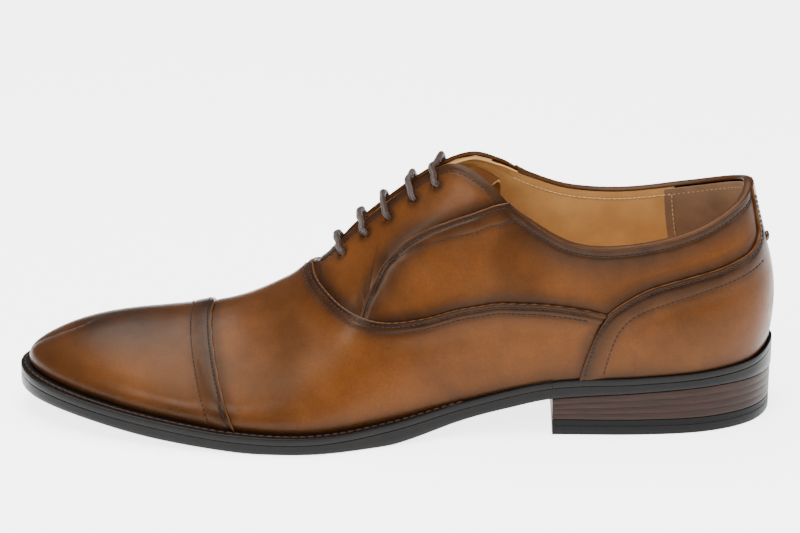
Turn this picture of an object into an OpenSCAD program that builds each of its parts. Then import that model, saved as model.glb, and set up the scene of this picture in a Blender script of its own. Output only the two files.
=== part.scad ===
// Left-foot cap-toe oxford shoe, built as separate pieces.
// +X points to the toe, +Y to the outer side, +Z up; the heel and the ball of the sole rest on z = 0.

/* [Leather] */
// thickness of the outer leather
leather_t = 1.3; // [0.8:0.1:2]
// thickness of the stiffeners and stays behind the leather
stiff_t = 0.8; // [0.4:0.1:1.2]
// thickness of the lining
lining_t = 0.8; // [0.4:0.1:1.2]
// thickness of the tongue
tongue_t = 1.6; // [1:0.1:2.5]

/* [Lace] */
// diameter of the waxed lace
lace_d = 2.6; // [2:0.1:3.2]
// diameter of the punched lace holes
hole_d = 3.8; // [3:0.1:4.5]

/* [Sole] */
// thickness of the welt
welt_t = 3; // [2:0.25:4]
// height of the rubber top lift under the heel
toplift_t = 6.8; // [4:0.2:8]
// thickness of the insole board
insole_t = 2.2; // [1.5:0.1:3]
// thickness of the sock liner
sock_t = 1; // [0.6:0.1:1.5]

/* [Trim] */
// diameter of the small stud on the heel strip
stud_d = 4.4; // [3:0.2:6]
// thickness of the sewing thread
thread_d = 0.6; // [0.4:0.1:0.8]

/* [Hidden] */

tan_c = [0.62, 0.36, 0.17];
dark_c = [0.32, 0.18, 0.11];
lining_c = [0.75, 0.6, 0.4];
black_c = [0.1, 0.09, 0.09];

// Feather line where the upper meets the welt: station, x, y. Station 0 is the heel back, 12 the toe tip.
FL = [[0, -152, -1.5], [1, -144.5, 16.5], [2, -125, 27.5], [3, -97, 31], [4, -62, 30.5], [5, -27, 31],
    [6, 4, 39], [7, 34, 46.8], [8, 65, 44.3], [9, 97, 36.5], [10, 124, 25], [11, 142.5, 11],
    [12, 150, -3.5]];
FM = [[0, -152, -1.5], [1, -144.5, -19.5], [2, -125, -30.5], [3, -97, -31.5], [4, -62, -28], [5, -27, -29.5],
    [6, 4, -37], [7, 34, -45], [8, 65, -46], [9, 97, -39.5], [10, 124, -30], [11, 142.5, -18],
    [12, 150, -3.5]];
// height of the feather line
FZ = [[0, 31.5], [1, 28.5], [2, 27], [3, 25.5], [4, 23.5], [5, 15.5], [6, 9.8], [7, 7.5], [8, 8],
    [9, 11.3], [10, 14.8], [11, 17.3], [12, 18.5]];
// Top edge of each side: the collar, the lacing edge, then the ridge over the toes.
RL = [[0, -143.5, -1.5, 98], [1, -138, 11.5, 92.5], [2, -119, 21.5, 84], [3, -92, 25.5, 79], [3.7, -70, 25.5, 80.5],
    [4.3, -50, 19.5, 91], [4.75, -36, 11.5, 103], [5.1, -24, 4.5, 107.5], [5.45, -12, 1.5, 102], [6, 6, -0.5, 87],
    [6.5, 18, -3.5, 76], [7, 31, -6.5, 62], [8, 62, -8.5, 44.5], [9, 90, -7.5, 40], [10, 108, -6.5, 39],
    [11, 121, -5.5, 36.5], [12, 126, -4.5, 34.5]];
RM = [[0, -143.5, -1.5, 98], [1, -138, -14.5, 95], [2, -119, -24.5, 89], [3, -92, -28.5, 84.5], [3.7, -70, -28.5, 86],
    [4.3, -53, -25.5, 93], [4.75, -42, -19.5, 101], [5.1, -30, -13.5, 106], [5.45, -15, -8.5, 102], [6, 6, -7.5, 87],
    [6.5, 18, -8, 76], [7, 31, -6.5, 62], [8, 62, -8.5, 44.5], [9, 90, -7.5, 40], [10, 108, -6.5, 39],
    [11, 121, -5.5, 36.5], [12, 126, -4.5, 34.5]];
// how far each side bulges out and rises near the feather line, and near the top edge
O1 = [[0, 6], [1, 5.5], [2, 4.5], [4, 1.5], [6, 3], [8, 3.5], [10, 3.5], [12, 3]];
H1 = [[0, 30], [3, 24], [5, 26], [7, 20], [9, 13], [12, 10]];
O2 = [[0, 5], [3, 1.5], [4, 3], [5, 14], [6, 15], [7, 14], [8, 12.5], [9, 14], [10, 13], [12, 11.5]];
H2 = [[0, 26], [3, 24], [4, 22], [5, 8], [6, 2], [7, 0], [12, 0]];
// slope of the ridge over the toes
SR = [[0, 0], [6.5, 0], [7, -0.6], [8, -0.35], [9, -0.1], [10, -0.12], [11, -0.22], [12, -0.4]];
// how far welt and outsole stand out past the feather line, and the underside of the outsole
WW = [[0, 1.5], [2, 1.2], [4, 1.2], [5, 2.2], [6, 4], [7, 4.8], [8, 5.5], [9, 6], [10, 6.3], [11, 6], [12, 4]];
ZB = [[0, 18.9], [1, 19.8], [2, 19.9], [3, 18.4], [4, 15.7], [4.5, 11.6], [5, 7.3], [5.5, 3.1], [5.8, 1.1],
    [6, 0.2], [6.3, 0], [7.7, 0], [8, 0.4], [9, 3.4], [10, 7.2], [11, 9.3], [12, 9.6]];
// rear edge of the toe cap: share of the height, station
CP = [[0, 8], [0.2, 8.12], [0.45, 8.25], [0.65, 8.34], [0.85, 8.4], [1, 8.41]];
// top edge of the vamp: run, station, share of the height
VT = [[0, 7.1, 1], [0.1, 7.05, 0.82], [0.2, 6.9, 0.68], [0.3, 6.68, 0.565], [0.42, 6.36, 0.475],
    [0.55, 5.9, 0.41], [0.65, 5.4, 0.375], [0.75, 4.9, 0.386], [0.85, 4.35, 0.458], [0.93, 3.85, 0.532],
    [0.97, 3.55, 0.54], [1, 3.32, 0.51]];
// lower front edge of the vamp
VA = [[0, 8.4, 1], [0.1, 8.38, 0.8], [0.2, 8.31, 0.58], [0.3, 8.2, 0.35], [0.4, 8.06, 0.1], [0.44, 8.01, 0.01],
    [0.45, 8, 0], [0.46, 7.95, 0], [0.55, 7.35, 0], [0.65, 6.6, 0], [0.8, 5.4, 0], [1, 3.7, 0]];
// front edge of the quarter, over the facing
QF = [[0, 6.42, 0.49], [0.1, 6.34, 0.55], [0.2, 6.2, 0.603], [0.3, 6.03, 0.655], [0.4, 5.78, 0.69],
    [0.5, 5.5, 0.69], [0.6, 5.22, 0.688], [0.7, 4.99, 0.72], [0.8, 4.78, 0.8], [0.9, 4.6, 0.905], [1, 4.47, 1]];
// upper edge of the heel foxing, from the front of its strip at the welt up to the collar
FX = [[0, 3.67, 0], [0.1, 3.58, 0.18], [0.2, 3.46, 0.36], [0.3, 3.29, 0.515], [0.4, 3.02, 0.63],
    [0.5, 2.65, 0.71], [0.6, 2.1, 0.73], [0.7, 1.5, 0.708], [0.8, 0.95, 0.7], [0.86, 0.62, 0.725],
    [0.9, 0.47, 0.765], [0.95, 0.4, 0.87], [1, 0.36, 1]];
// foot of the foxing on the feather line
FA = [[0, 3.67], [0.2, 3], [0.4, 2.2], [0.6, 1.4], [0.75, 0.85], [0.85, 0.5], [0.93, 0.36], [1, 0.2]];
// front edge of the quarter lining and rear edge of the vamp lining: share of the height, station
LV = [[0, 5.3], [0.3, 5.95], [0.6, 6.6], [1, 7.15]];
// second rows of stitches behind the quarter front and under the foxing edge
Q2 = [[0, 6.2, 0.56], [0.15, 6.07, 0.635], [0.3, 5.83, 0.645], [0.45, 5.55, 0.632], [0.6, 5.25, 0.622],
    [0.75, 4.95, 0.65], [0.9, 4.62, 0.775], [1, 4.38, 0.92]];
X2 = [[0, 3.4, 0.02], [0.15, 3.31, 0.19], [0.3, 3.17, 0.36], [0.42, 2.95, 0.48], [0.55, 2.5, 0.555],
    [0.7, 1.9, 0.585], [0.85, 1.2, 0.575], [1, 0.6, 0.57]];
// lace holes: station, share of the height
HOLES = [[6.7, 0.86], [6.32, 0.868], [5.95, 0.872], [5.64, 0.872], [5.36, 0.878]];
// route of the lace, from the end tucked in on the outer side to the end tucked in on the inner side
LACE = [
    [18, 11.5, 14.6], [8, 13, 14.9], [-3, 14.5, 16.5], [-14, 16.5, 18.5], [-23, 18.5, 21.5], [-29.5, 20.5, 27],
    [-32, 25, 36.5], [-33.5, 23.5, 49], [-34, 21.5, 61.5], [-32.5, 18, 74], [-29.5, 14, 85],
    [-23.5, 10.5, 89.5], [-14.5, 8.5, 86.5], [-4.5, 8, 80], [5, 7, 73], [11, 5.5, 68.5], [15.5, 4, 65.5],
    [18, 1.5, 65], [21, 2.4, 67.6], [22.5, 2.9, 69.4], [23.5, 1.5, 70.7], [23.5, -1, 71.5], [24.5, -4.5, 72.3],
    [24, -6, 72.1], [24.5, -8, 72.3], [23.5, -11, 71.7], [23.5, -13.3, 70.7], [22.5, -14.3, 69.2],
    [21, -13, 67], [18, -11.5, 66], [14, -11.5, 70], [11, -11, 73.5], [11.5, -13.4, 76.8], [13, -14.5, 78.7],
    [14, -14.1, 80.2], [14, -11.7, 81.6], [15, -8.5, 82.2], [15, -5, 82], [15, -2, 82], [14, 1.5, 81.5],
    [14, 3.5, 79], [13, 4.5, 78], [11.5, 3.5, 76.5], [8.5, 2, 75.5], [5, 2.5, 78], [1.5, 3, 81.5],
    [2.5, 5, 84], [4, 6, 86], [4.5, 5.5, 87], [5, 3.5, 88.9], [5.5, 0.5, 90.4], [5.5, -4, 90.4],
    [5.5, -8, 90.4], [4.5, -11, 89], [4, -13, 87], [3.5, -13.5, 86], [2.5, -12, 84], [0, -10, 83],
    [-4.5, -9.5, 86], [-9.5, -10, 90], [-9, -12, 92.5], [-8, -13.5, 94], [-7.5, -13, 95.5], [-7, -11.5, 97],
    [-6.5, -8.5, 99.2], [-5.5, -3.5, 99.2], [-4.5, 1.5, 99.2], [-5.5, 4.5, 97], [-6, 6.5, 95], [-6.5, 7, 94],
    [-7.5, 5.5, 92.5], [-10, 3.5, 91.5], [-14, 3.5, 94], [-17.5, 4, 96.5], [-17, 6.5, 99], [-15.5, 8, 100.5],
    [-15, 7.5, 102], [-15, 6, 103.5], [-14, 3, 105.5], [-16, -3.5, 105], [-18, -10, 106],
    [-18.5, -13.6, 104.4], [-19, -15.1, 102.2], [-19.5, -15, 100], [-20.5, -13.5, 98.5],
    [-23.5, -12, 96.5], [-28.5, -14.5, 95.5], [-32, -17, 92], [-34.5, -20, 84], [-35, -22.5, 73],
    [-34, -23.5, 60.5], [-32.5, -24.5, 48], [-30, -24.5, 35.5], [-27, -19.5, 27], [-21, -18, 21.5],
    [-12, -16.5, 18.5], [-1, -15.5, 16.5], [10, -15, 14.9], [20, -14.5, 14.6]];
// station of the line across the ball where the sole flexes
flex = 7.45;
// gap between neighbouring pieces, in stations and in share of the height
gu = 0.014;
gt = 0.006;
// depths of the layers below the outer face
stiff_d = leather_t + 0.2;
lining_d = leather_t + stiff_t + 0.4;
inner_d = lining_d + lining_t;
tongue_d = inner_d + lace_d + 0.8;

function tail(r) = [for (k = [1:len(r) - 1]) r[k]];
// a table with one more row before and after it, for smooth ends
function opened(T) = let (n = len(T)) concat([2 * T[0] - T[1]], T, [2 * T[n - 1] - T[n - 2]]);
function joined(T, M) = let (n = len(T))
    concat([concat([2 * T[0][0] - M[1][0]], tail(M[1]))], T, [concat([2 * T[n - 1][0] - M[n - 2][0]], tail(M[n - 2]))]);
function row(E, u, i) = (i >= len(E) - 3 || u < E[i + 1][0]) ? i : row(E, u, i + 1);
// smooth curve through a table that has been opened or joined
function at(E, u) = let (i = row(E, u, 1), h = E[i + 1][0] - E[i][0], s = (u - E[i][0]) / h,
    p = tail(E[i]), q = tail(E[i + 1]),
    m = (q - tail(E[i - 1])) * h / (E[i + 1][0] - E[i - 1][0]),
    k = (tail(E[i + 2]) - p) * h / (E[i + 2][0] - E[i][0]))
    (2 * s * s * s - 3 * s * s + 1) * p + (s * s * s - 2 * s * s + s) * m
    + (3 * s * s - 2 * s * s * s) * q + (s * s * s - s * s) * k;
fl = joined(FL, FM);
fm = joined(FM, FL);
rl = joined(RL, RM);
rm = joined(RM, RL);
fz = joined(FZ, FZ);
o1 = joined(O1, O1);
h1 = joined(H1, H1);
o2 = joined(O2, O2);
h2 = joined(H2, H2);
sr = opened(SR);
ww = joined(WW, WW);
zb = joined(ZB, ZB);
cp = opened(CP);
vt = opened(VT);
va = opened(VA);
qf = opened(QF);
fx = opened(FX);
fa = opened(FA);
lv = opened(LV);
q2 = opened(Q2);
x2 = opened(X2);

function unit(v) = v / norm(v);
function outward(u, side) = let (E = side > 0 ? fl : fm, d = at(E, u + 0.002) - at(E, u - 0.002), l = norm(d))
    [-d[1], d[0], 0] * side / l;
function feather(u, side) = concat(at(side > 0 ? fl : fm, u), at(fz, u));
// point of the outer face of the upper; side is 1 for the outer side of the foot and -1 for the inner side
function surf(u, t, side) = u < 0 ? surf(-u, t, -side) : u > 12 ? surf(24 - u, t, -side) :
    let (f = feather(u, side), r = at(side > 0 ? rl : rm, u), n = outward(u, side),
        a = f + at(o1, u)[0] * n + [0, 0, at(h1, u)[0]],
        b = r + at(o2, u)[0] * (n + [0, 0, at(sr, u)[0] * n[0]]) - [0, 0, at(h2, u)[0]], w = 1 - t)
    w * w * w * f + 3 * w * w * t * a + 3 * w * t * t * b + t * t * t * r;
function face_n(u, t, side) = let (c = min(max(t, 0.004), 0.996),
    a = surf(u + 0.004, c, side) - surf(u - 0.004, c, side),
    b = surf(u, c + 0.003, side) - surf(u, c - 0.003, side)) -side * unit(cross(a, b));
// point at a depth below the outer face
function pt(u, t, side, d) = surf(u, t, side) - d * face_n(u, t, side);
// the same over the ridge: v runs from -1 at the inner feather to 1 at the outer feather
function pv(u, v, d) = abs(v) < 0.001 ? (pt(u, 1, 1, d) + pt(u, 1, -1, d)) / 2
    : v > 0 ? pt(u, 1 - v, 1, d) : pt(u, 1 + v, -1, d);
// the same around the heel back: s is the station, negative on the inner side
function ps(s, t, d) = s >= 0 ? pt(s, t, 1, d) : pt(-s, t, -1, d);
function mix(a, b, w) = a + (b - a) * w;

// closed slab between two grids of points; fold joins the last row onto itself
module slab(G, H, flip, fold) {
    R = len(G);
    C = len(G[0]);
    function id(i, j) = (fold && i == R - 1) ? i * C + min(j, C - 1 - j) : i * C + j;
    function quad(a, b, c, d) = flip ? [[a, c, b], [a, d, c]] : [[a, b, c], [a, c, d]];
    N = R * C;
    pts = concat([for (r = G) for (p = r) p], [for (r = H) for (p = r) p]);
    outer = [for (i = [0:R - 2]) for (j = [0:C - 2])
        each quad(id(i, j), id(i + 1, j), id(i + 1, j + 1), id(i, j + 1))];
    inner = [for (i = [0:R - 2]) for (j = [0:C - 2])
        each quad(N + id(i, j), N + id(i, j + 1), N + id(i + 1, j + 1), N + id(i + 1, j))];
    low = [for (i = [0:R - 2]) each quad(id(i + 1, 0), id(i, 0), N + id(i, 0), N + id(i + 1, 0))];
    top = [for (i = [0:R - 2])
        each quad(id(i, C - 1), id(i + 1, C - 1), N + id(i + 1, C - 1), N + id(i, C - 1))];
    first = [for (j = [0:C - 2]) each quad(id(0, j), id(0, j + 1), N + id(0, j + 1), N + id(0, j))];
    last = fold ? [] : [for (j = [0:C - 2])
        each quad(id(R - 1, j + 1), id(R - 1, j), N + id(R - 1, j), N + id(R - 1, j + 1))];
    polyhedron(pts, concat(outer, inner, low, top, first, last), convexity = 8);
}

// closed bar through a list of rings of points
module bar(rings, flip) {
    R = len(rings);
    C = len(rings[0]);
    pts = [for (r = rings) for (p = r) p];
    function quad(a, b, c, d) = flip ? [[a, c, b], [a, d, c]] : [[a, b, c], [a, c, d]];
    skin = [for (i = [0:R - 2]) for (j = [0:C - 1]) let (k = (j + 1) % C)
        each quad(i * C + j, i * C + k, (i + 1) * C + k, (i + 1) * C + j)];
    head = [for (j = [1:C - 2]) flip ? [0, j, j + 1] : [0, j + 1, j]];
    tip = [for (j = [1:C - 2]) let (b = (R - 1) * C) flip ? [b, b + j + 1, b + j] : [b, b + j, b + j + 1]];
    polyhedron(pts, concat(skin, head, tip), convexity = 8);
}

// sole layer across the shoe through the stations us; outs is the step past the feather line at each
module layer(us, outs, tops, bots) {
    n = len(us);
    function side_point(i, side) = let (p = feather(us[i], side) + outs[i] * outward(us[i], side)) [p[0], p[1]];
    a = us[0] < 0.01;
    b = us[n - 1] > 11.99;
    L = [for (i = [0:n - 1]) side_point(i, 1)];
    M = [for (i = [0:n - 1]) side_point(i, -1)];
    // vertex numbers: outer top, inner top, outer bottom, inner bottom; end stations close to one point
    pts = concat([for (i = [0:n - 1]) [L[i][0], L[i][1], tops[i]]], [for (i = [0:n - 1]) [M[i][0], M[i][1], tops[i]]],
        [for (i = [0:n - 1]) [L[i][0], L[i][1], bots[i]]], [for (i = [0:n - 1]) [M[i][0], M[i][1], bots[i]]]);
    function lt(i) = i;
    function mt(i) = ((i == 0 && a) || (i == n - 1 && b)) ? i : n + i;
    function lb(i) = 2 * n + i;
    function mb(i) = ((i == 0 && a) || (i == n - 1 && b)) ? 2 * n + i : 3 * n + i;
    function tri(x, y, z) = (x == y || y == z || x == z) ? [] : [[x, y, z]];
    function quad(w, x, y, z) = concat(tri(w, x, y), tri(w, y, z));
    body = [for (i = [0:n - 2]) each concat(
        quad(lt(i), mt(i), mt(i + 1), lt(i + 1)), quad(lb(i), lb(i + 1), mb(i + 1), mb(i)),
        quad(lt(i), lt(i + 1), lb(i + 1), lb(i)), quad(mt(i), mb(i), mb(i + 1), mt(i + 1)))];
    back = a ? [] : quad(lt(0), lb(0), mb(0), mt(0));
    front = b ? [] : quad(lt(n - 1), mt(n - 1), mb(n - 1), lb(n - 1));
    polyhedron(pts, concat(body, back, front), convexity = 4);
}
// evenly spaced stations
function stations(u0, u1, n) = [for (i = [0:n]) u0 + (u1 - u0) * i / n];
function edge_out(us, add) = [for (u = us) at(ww, u)[0] + add];
function inset(us, d) = [for (u = us) -d];
function seat(us, dz) = [for (u = us) at(fz, u)[0] + dz];
function flat(us, z) = [for (u = us) z];
function under(us, dz) = [for (u = us) max(0, at(zb, u)[0] + dz)];

// strip of sole around the edge through signed loop positions: 0 to 12 outer side, 12 to 24 inner side
function loop_point(s, out) = s <= 12 ? feather(s, 1) + out * outward(s, 1) : feather(24 - s, -1) + out * outward(24 - s, -1);
function loop_u(s) = s <= 12 ? s : 24 - s;
module strip(ss, add, width, dz, t) bar([for (s = ss) let (w = at(ww, loop_u(s))[0] + add,
    a = loop_point(s, w), b = loop_point(s, -width)) [a + [0, 0, dz], b + [0, 0, dz - 0.9], b + [0, 0, dz - t], a + [0, 0, dz - t]]], false);

// thread along a list of [station, share, side] triples, lying on the outer face
module thread(path) bar([for (i = [0:len(path) - 1]) let (q = path[i],
    c = pt(q[0], q[1], q[2], -0.25 - thread_d / 2), n = face_n(q[0], q[1], q[2]),
    p = path[max(i - 1, 0)], r = path[min(i + 1, len(path) - 1)],
    e = unit(surf(r[0], r[1], r[2]) - surf(p[0], p[1], p[2])), w = cross(e, n) * thread_d / 2, h = n * thread_d / 2)
    [c + h, c + w, c - h, c - w]], true);

// ---------- uppers ----------
module toe_cap_shape(d, t, gap) {
    vs = [-1, -0.97, -0.88, -0.76, -0.64, -0.52, -0.4, -0.28, -0.14, 0, 0.14, 0.28, 0.4, 0.52, 0.64, 0.76, 0.88, 0.97, 1];
    G = [for (i = [0:11]) [for (v = vs) pv(mix(at(cp, 1 - abs(v))[0] + gap, 12, 1 - pow(1 - i / 11, 1.15)), v, d)]];
    H = [for (i = [0:11]) [for (v = vs) pv(mix(at(cp, 1 - abs(v))[0] + gap, 12, 1 - pow(1 - i / 11, 1.15)), v, d + t)]];
    slab(G, H, true, true);
}
module toe_cap() color(tan_c) toe_cap_shape(0, leather_t, gu);

// station and share of the height on the vamp at run k and cross position r
function vamp_at(k, r) = let (a = at(va, k), b = at(vt, k), w = max(0, (k - 0.8) * 5))
    [mix(a[0], b[0], r) + 0.14 * r * (1 - r) * w * w, min(1, max(0, mix(a[1], b[1], r)))];
function vamp_p(k, r, d) = let (q = vamp_at(abs(k), r)) abs(k) < 0.001 ? pv(q[0], 0, d) : pt(q[0], q[1], k > 0 ? 1 : -1, d);
module vamp() color(tan_c) {
    ks = concat([for (k = [0:0.05:0.4]) k], [0.45, 0.52, 0.58, 0.64, 0.7, 0.76, 0.82, 0.88, 0.94, 0.97, 1]);
    run = concat([for (i = [len(ks) - 1:-1:1]) -ks[i]], ks);
    G = [for (k = run) [for (j = [0:7]) vamp_p(k, j / 7, 0)]];
    H = [for (k = run) [for (j = [0:7]) vamp_p(k, j / 7, leather_t)]];
    slab(G, H, true, false);
}

function facing_low(f) = f < 0.45 ? at(vt, mix(0.08, 0.415, f / 0.45)) + [-gu, gt]
    : at(qf, mix(0.04, 0.97, (f - 0.45) / 0.55)) + [gu, gt];
function facing_top(f) = let (u = mix(7, 4.53, f)) [u, u > 6.75 ? 0.985 : 1];
function facing_at(f, r) = let (a = facing_low(f), b = facing_top(f)) [mix(a[0], b[0], r), min(1, mix(a[1], b[1], r))];
module lace_holes(side) for (q = HOLES) {
    n = face_n(q[0], q[1], side);
    translate(surf(q[0], q[1], side) + 3 * n) rotate([0, 180 - acos(n[2]), atan2(n[1], n[0]) + 180])
        cylinder(d = hole_d, h = 10, $fn = 10);
}
module facing(side) color(tan_c) difference() {
    slab([for (i = [0:18]) [for (j = [0:4]) let (q = facing_at(i / 18, j / 4)) pt(q[0], q[1], side, 0)]],
        [for (i = [0:18]) [for (j = [0:4]) let (q = facing_at(i / 18, j / 4)) pt(q[0], q[1], side, leather_t)]],
        side > 0, false);
    lace_holes(side);
}
module facing_outer() facing(1);
module facing_inner() facing(-1);

function quarter_low(q) = q < 0.5 ? at(vt, mix(0.43, 0.982, q / 0.5)) + [0, gt] : at(fx, mix(0.31, 0.9, (q - 0.5) / 0.5)) + [gu, gt];
function quarter_top(q) = q < 0.35 ? at(qf, mix(0.08, 1, q / 0.35)) : [mix(4.46, 0.39, (q - 0.35) / 0.65), 1];
function quarter_at(q, r) = let (a = quarter_low(q), b = quarter_top(q)) [mix(a[0], b[0], r), min(1, mix(a[1], b[1], r))];
module quarter(side) color(tan_c)
    slab([for (i = [0:34]) [for (j = [0:5]) let (q = quarter_at(i / 34, j / 5)) pt(q[0], q[1], side, 0)]],
        [for (i = [0:34]) [for (j = [0:5]) let (q = quarter_at(i / 34, j / 5)) pt(q[0], q[1], side, leather_t)]],
        side > 0, false);
module quarter_outer() quarter(1);
module quarter_inner() quarter(-1);

// heel foxing: w runs from -1 at the inner front to 1 at the outer front
function foxing_at(w, r) = let (g = 1 - abs(w), a = [at(fa, g)[0], 0], b = at(fx, 0.3 + 0.7 * g), k = max(0, 1 - 3 * g))
    [mix(a[0], b[0], r) + 0.14 * r * (1 - r) * k * k, min(1, mix(a[1], b[1], r))];
function foxing_p(w, r, d) = abs(w) < 0.001 ? ps(0, r, d) : let (q = foxing_at(w, r)) ps((w > 0 ? 1 : -1) * q[0], q[1], d);
module heel_foxing() color(tan_c) difference() {
    ws = concat([1, 0.96, 0.92], [for (i = [1:17]) 0.92 - i * 0.05], [0.035, 0.001001]);
    run = concat(ws, [0], [for (i = [len(ws) - 1:-1:0]) -ws[i]]);
    slab([for (w = run) [for (j = [0:8]) foxing_p(w, j / 8, 0)]],
        [for (w = run) [for (j = [0:8]) foxing_p(w, j / 8, leather_t)]], true, false);
    translate([-160, -1.5, 74]) rotate([0, 90, 0]) cylinder(d = 1.9, h = 30, $fn = 8);
}

module topline_binding() color(dark_c) {
    us = [for (i = [0:44]) mix(4.44, -4.44, i / 44)];
    bar([for (s = us) let (side = s >= 0 ? 1 : -1, u = abs(s), p = surf(u, 1, side), n = face_n(u, 1, side),
        b = unit(p - surf(u, 0.97, side)), c = p - 1.7 * n + 0.3 * b)
        [for (a = [0:30:180]) c + 2.2 * cos(a) * n + 1.6 * sin(a) * b]], true);
}

// ---------- lacing ----------
// how far the end of the tongue curls down
function curl(u) = max(0, 5.1 - u) * max(0, 5.1 - u) * 22;
// tongue: columns run from the outer edge over the instep to the inner edge
module tongue() color(tan_c) {
    ts = [0.7, 0.78, 0.86, 0.93, 0.985];
    cols = concat([for (t = ts) [t, 1]], [for (i = [4:-1:0]) [ts[i], -1]]);
    us = concat([7.4, 7.3], [for (i = [0:14]) 7.15 - i * 0.165], [4.76]);
    slab([for (u = us) [for (c = cols) pt(u, c[0], c[1], tongue_d + curl(u))]],
        [for (u = us) [for (c = cols) pt(u, c[0], c[1], tongue_d + curl(u) + tongue_t)]], true, false);
}
module facing_stay(side) color(lining_c) difference() {
    slab([for (i = [0:10]) [for (j = [0:2]) pt(mix(6.85, 4.85, i / 10), mix(0.78, 0.98, j / 2), side, stiff_d)]],
        [for (i = [0:10]) [for (j = [0:2]) pt(mix(6.85, 4.85, i / 10), mix(0.78, 0.98, j / 2), side, stiff_d + stiff_t)]],
        side > 0, false);
    lace_holes(side);
}
module facing_stay_outer() facing_stay(1);
module facing_stay_inner() facing_stay(-1);

// ---------- stiffeners and linings ----------
module toe_puff() color(lining_c) {
    vs = [-0.95, -0.82, -0.66, -0.5, -0.34, -0.17, 0, 0.17, 0.34, 0.5, 0.66, 0.82, 0.95];
    slab([for (i = [0:8]) [for (v = vs) pv(mix(8.75, 12, i / 8), v, stiff_d)]],
        [for (i = [0:8]) [for (v = vs) pv(mix(8.75, 12, i / 8), v, stiff_d + stiff_t)]], true, true);
}
module heel_counter() color(lining_c)
    slab([for (i = [0:20]) let (s = 3.1 - 0.31 * i) [for (j = [0:4]) ps(s, mix(0.04, 0.62 - 0.012 * s * s, j / 4), stiff_d)]],
        [for (i = [0:20]) let (s = 3.1 - 0.31 * i) [for (j = [0:4]) ps(s, mix(0.04, 0.62 - 0.012 * s * s, j / 4), stiff_d + stiff_t)]],
        true, false);
module vamp_lining_toe() color(lining_c) {
    vs = [-0.97, -0.85, -0.7, -0.55, -0.4, -0.2, 0, 0.2, 0.4, 0.55, 0.7, 0.85, 0.97];
    slab([for (i = [0:11]) [for (v = vs) pv(mix(flex + gu, 12, i / 11), v, lining_d)]],
        [for (i = [0:11]) [for (v = vs) pv(mix(flex + gu, 12, i / 11), v, inner_d)]], true, true);
}
module vamp_lining_rear() color(lining_c) {
    vs = [-0.97, -0.85, -0.7, -0.55, -0.4, -0.2, 0, 0.2, 0.4, 0.55, 0.7, 0.85, 0.97];
    slab([for (i = [0:6]) [for (v = vs) pv(mix(at(lv, 1 - abs(v))[0] + gu, flex - gu, i / 6), v, lining_d)]],
        [for (i = [0:6]) [for (v = vs) pv(mix(at(lv, 1 - abs(v))[0] + gu, flex - gu, i / 6), v, inner_d)]], true, false);
}
module quarter_lining(side) color(lining_c) difference() {
    ts = [0.03, 0.2, 0.4, 0.6, 0.75, 0.88, 0.985];
    slab([for (i = [0:16]) [for (t = ts) pt(mix(at(lv, t)[0] - gu, 2.36, i / 16), t, side, lining_d)]],
        [for (i = [0:16]) [for (t = ts) pt(mix(at(lv, t)[0] - gu, 2.36, i / 16), t, side, inner_d)]], side > 0, false);
    lace_holes(side);
}
module quarter_lining_outer() quarter_lining(1);
module quarter_lining_inner() quarter_lining(-1);
module heel_grip() color([0.5, 0.38, 0.28])
    slab([for (i = [0:16]) [for (t = [0.03, 0.2, 0.4, 0.6, 0.8, 0.985]) ps(2.33 * (1 - i / 8), t, lining_d)]],
        [for (i = [0:16]) [for (t = [0.03, 0.2, 0.4, 0.6, 0.8, 0.985]) ps(2.33 * (1 - i / 8), t, inner_d)]], true, false);

// ---------- inside of the sole ----------
toe_us = concat(stations(flex + gu, 11, 9), [11.4, 11.7, 11.88, 12]);
rear_us = concat([0, 0.12, 0.3, 0.6], stations(1, flex - gu, 14));
inside_d = inner_d + 0.6;
module insole_toe() color(lining_c) layer(toe_us, inset(toe_us, inside_d), seat(toe_us, insole_t), seat(toe_us, 0));
module insole_rear() color(lining_c) layer(rear_us, inset(rear_us, inside_d), seat(rear_us, insole_t), seat(rear_us, 0));
// lift of the sock liner over the heel pad
function pad_lift(u) = 2.1 * (1 - min(1, max(0, (u - 2.6) / 1.4)));
module sock_toe() color(lining_c)
    layer(toe_us, inset(toe_us, inside_d + 0.2), seat(toe_us, insole_t + 0.15 + sock_t), seat(toe_us, insole_t + 0.15));
module sock_rear() color(lining_c)
    layer(rear_us, inset(rear_us, inside_d + 0.2),
        [for (u = rear_us) at(fz, u)[0] + insole_t + 0.15 + sock_t + pad_lift(u)],
        [for (u = rear_us) at(fz, u)[0] + insole_t + 0.15 + pad_lift(u)]);
module heel_pad() color([0.8, 0.75, 0.5]) {
    us = [0, 0.12, 0.3, 0.6, 1, 1.5, 2, 2.6, 3, 3.4];
    layer(us, inset(us, inside_d + 1), [for (u = us) at(fz, u)[0] + insole_t + pad_lift(u) - 0.35], seat(us, insole_t + 0.1));
}
module shank() color([0.6, 0.62, 0.64]) bar([for (i = [0:9]) let (u = mix(2.9, 5.9, i / 9),
    p = (feather(u, 1) + feather(u, -1)) / 2 - [0, 0, 1.2])
    [p + [0, 7, 0], p - [0, 7, 0], p - [0, 7, 1.2], p + [0, 7, -1.2]]], false);
cork_us = concat(stations(flex + gu, 11, 8), [11.4, 11.7, 11.88, 12]);
module cork_toe() color([0.6, 0.45, 0.3]) layer(cork_us, inset(cork_us, 8.6), seat(cork_us, -1.1), seat(cork_us, -welt_t - 0.1));
module cork_rear() color([0.6, 0.45, 0.3]) {
    us = stations(6.1, flex - gu, 4);
    layer(us, inset(us, 8.6), seat(us, -1.1), seat(us, -welt_t - 0.1));
}

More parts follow.
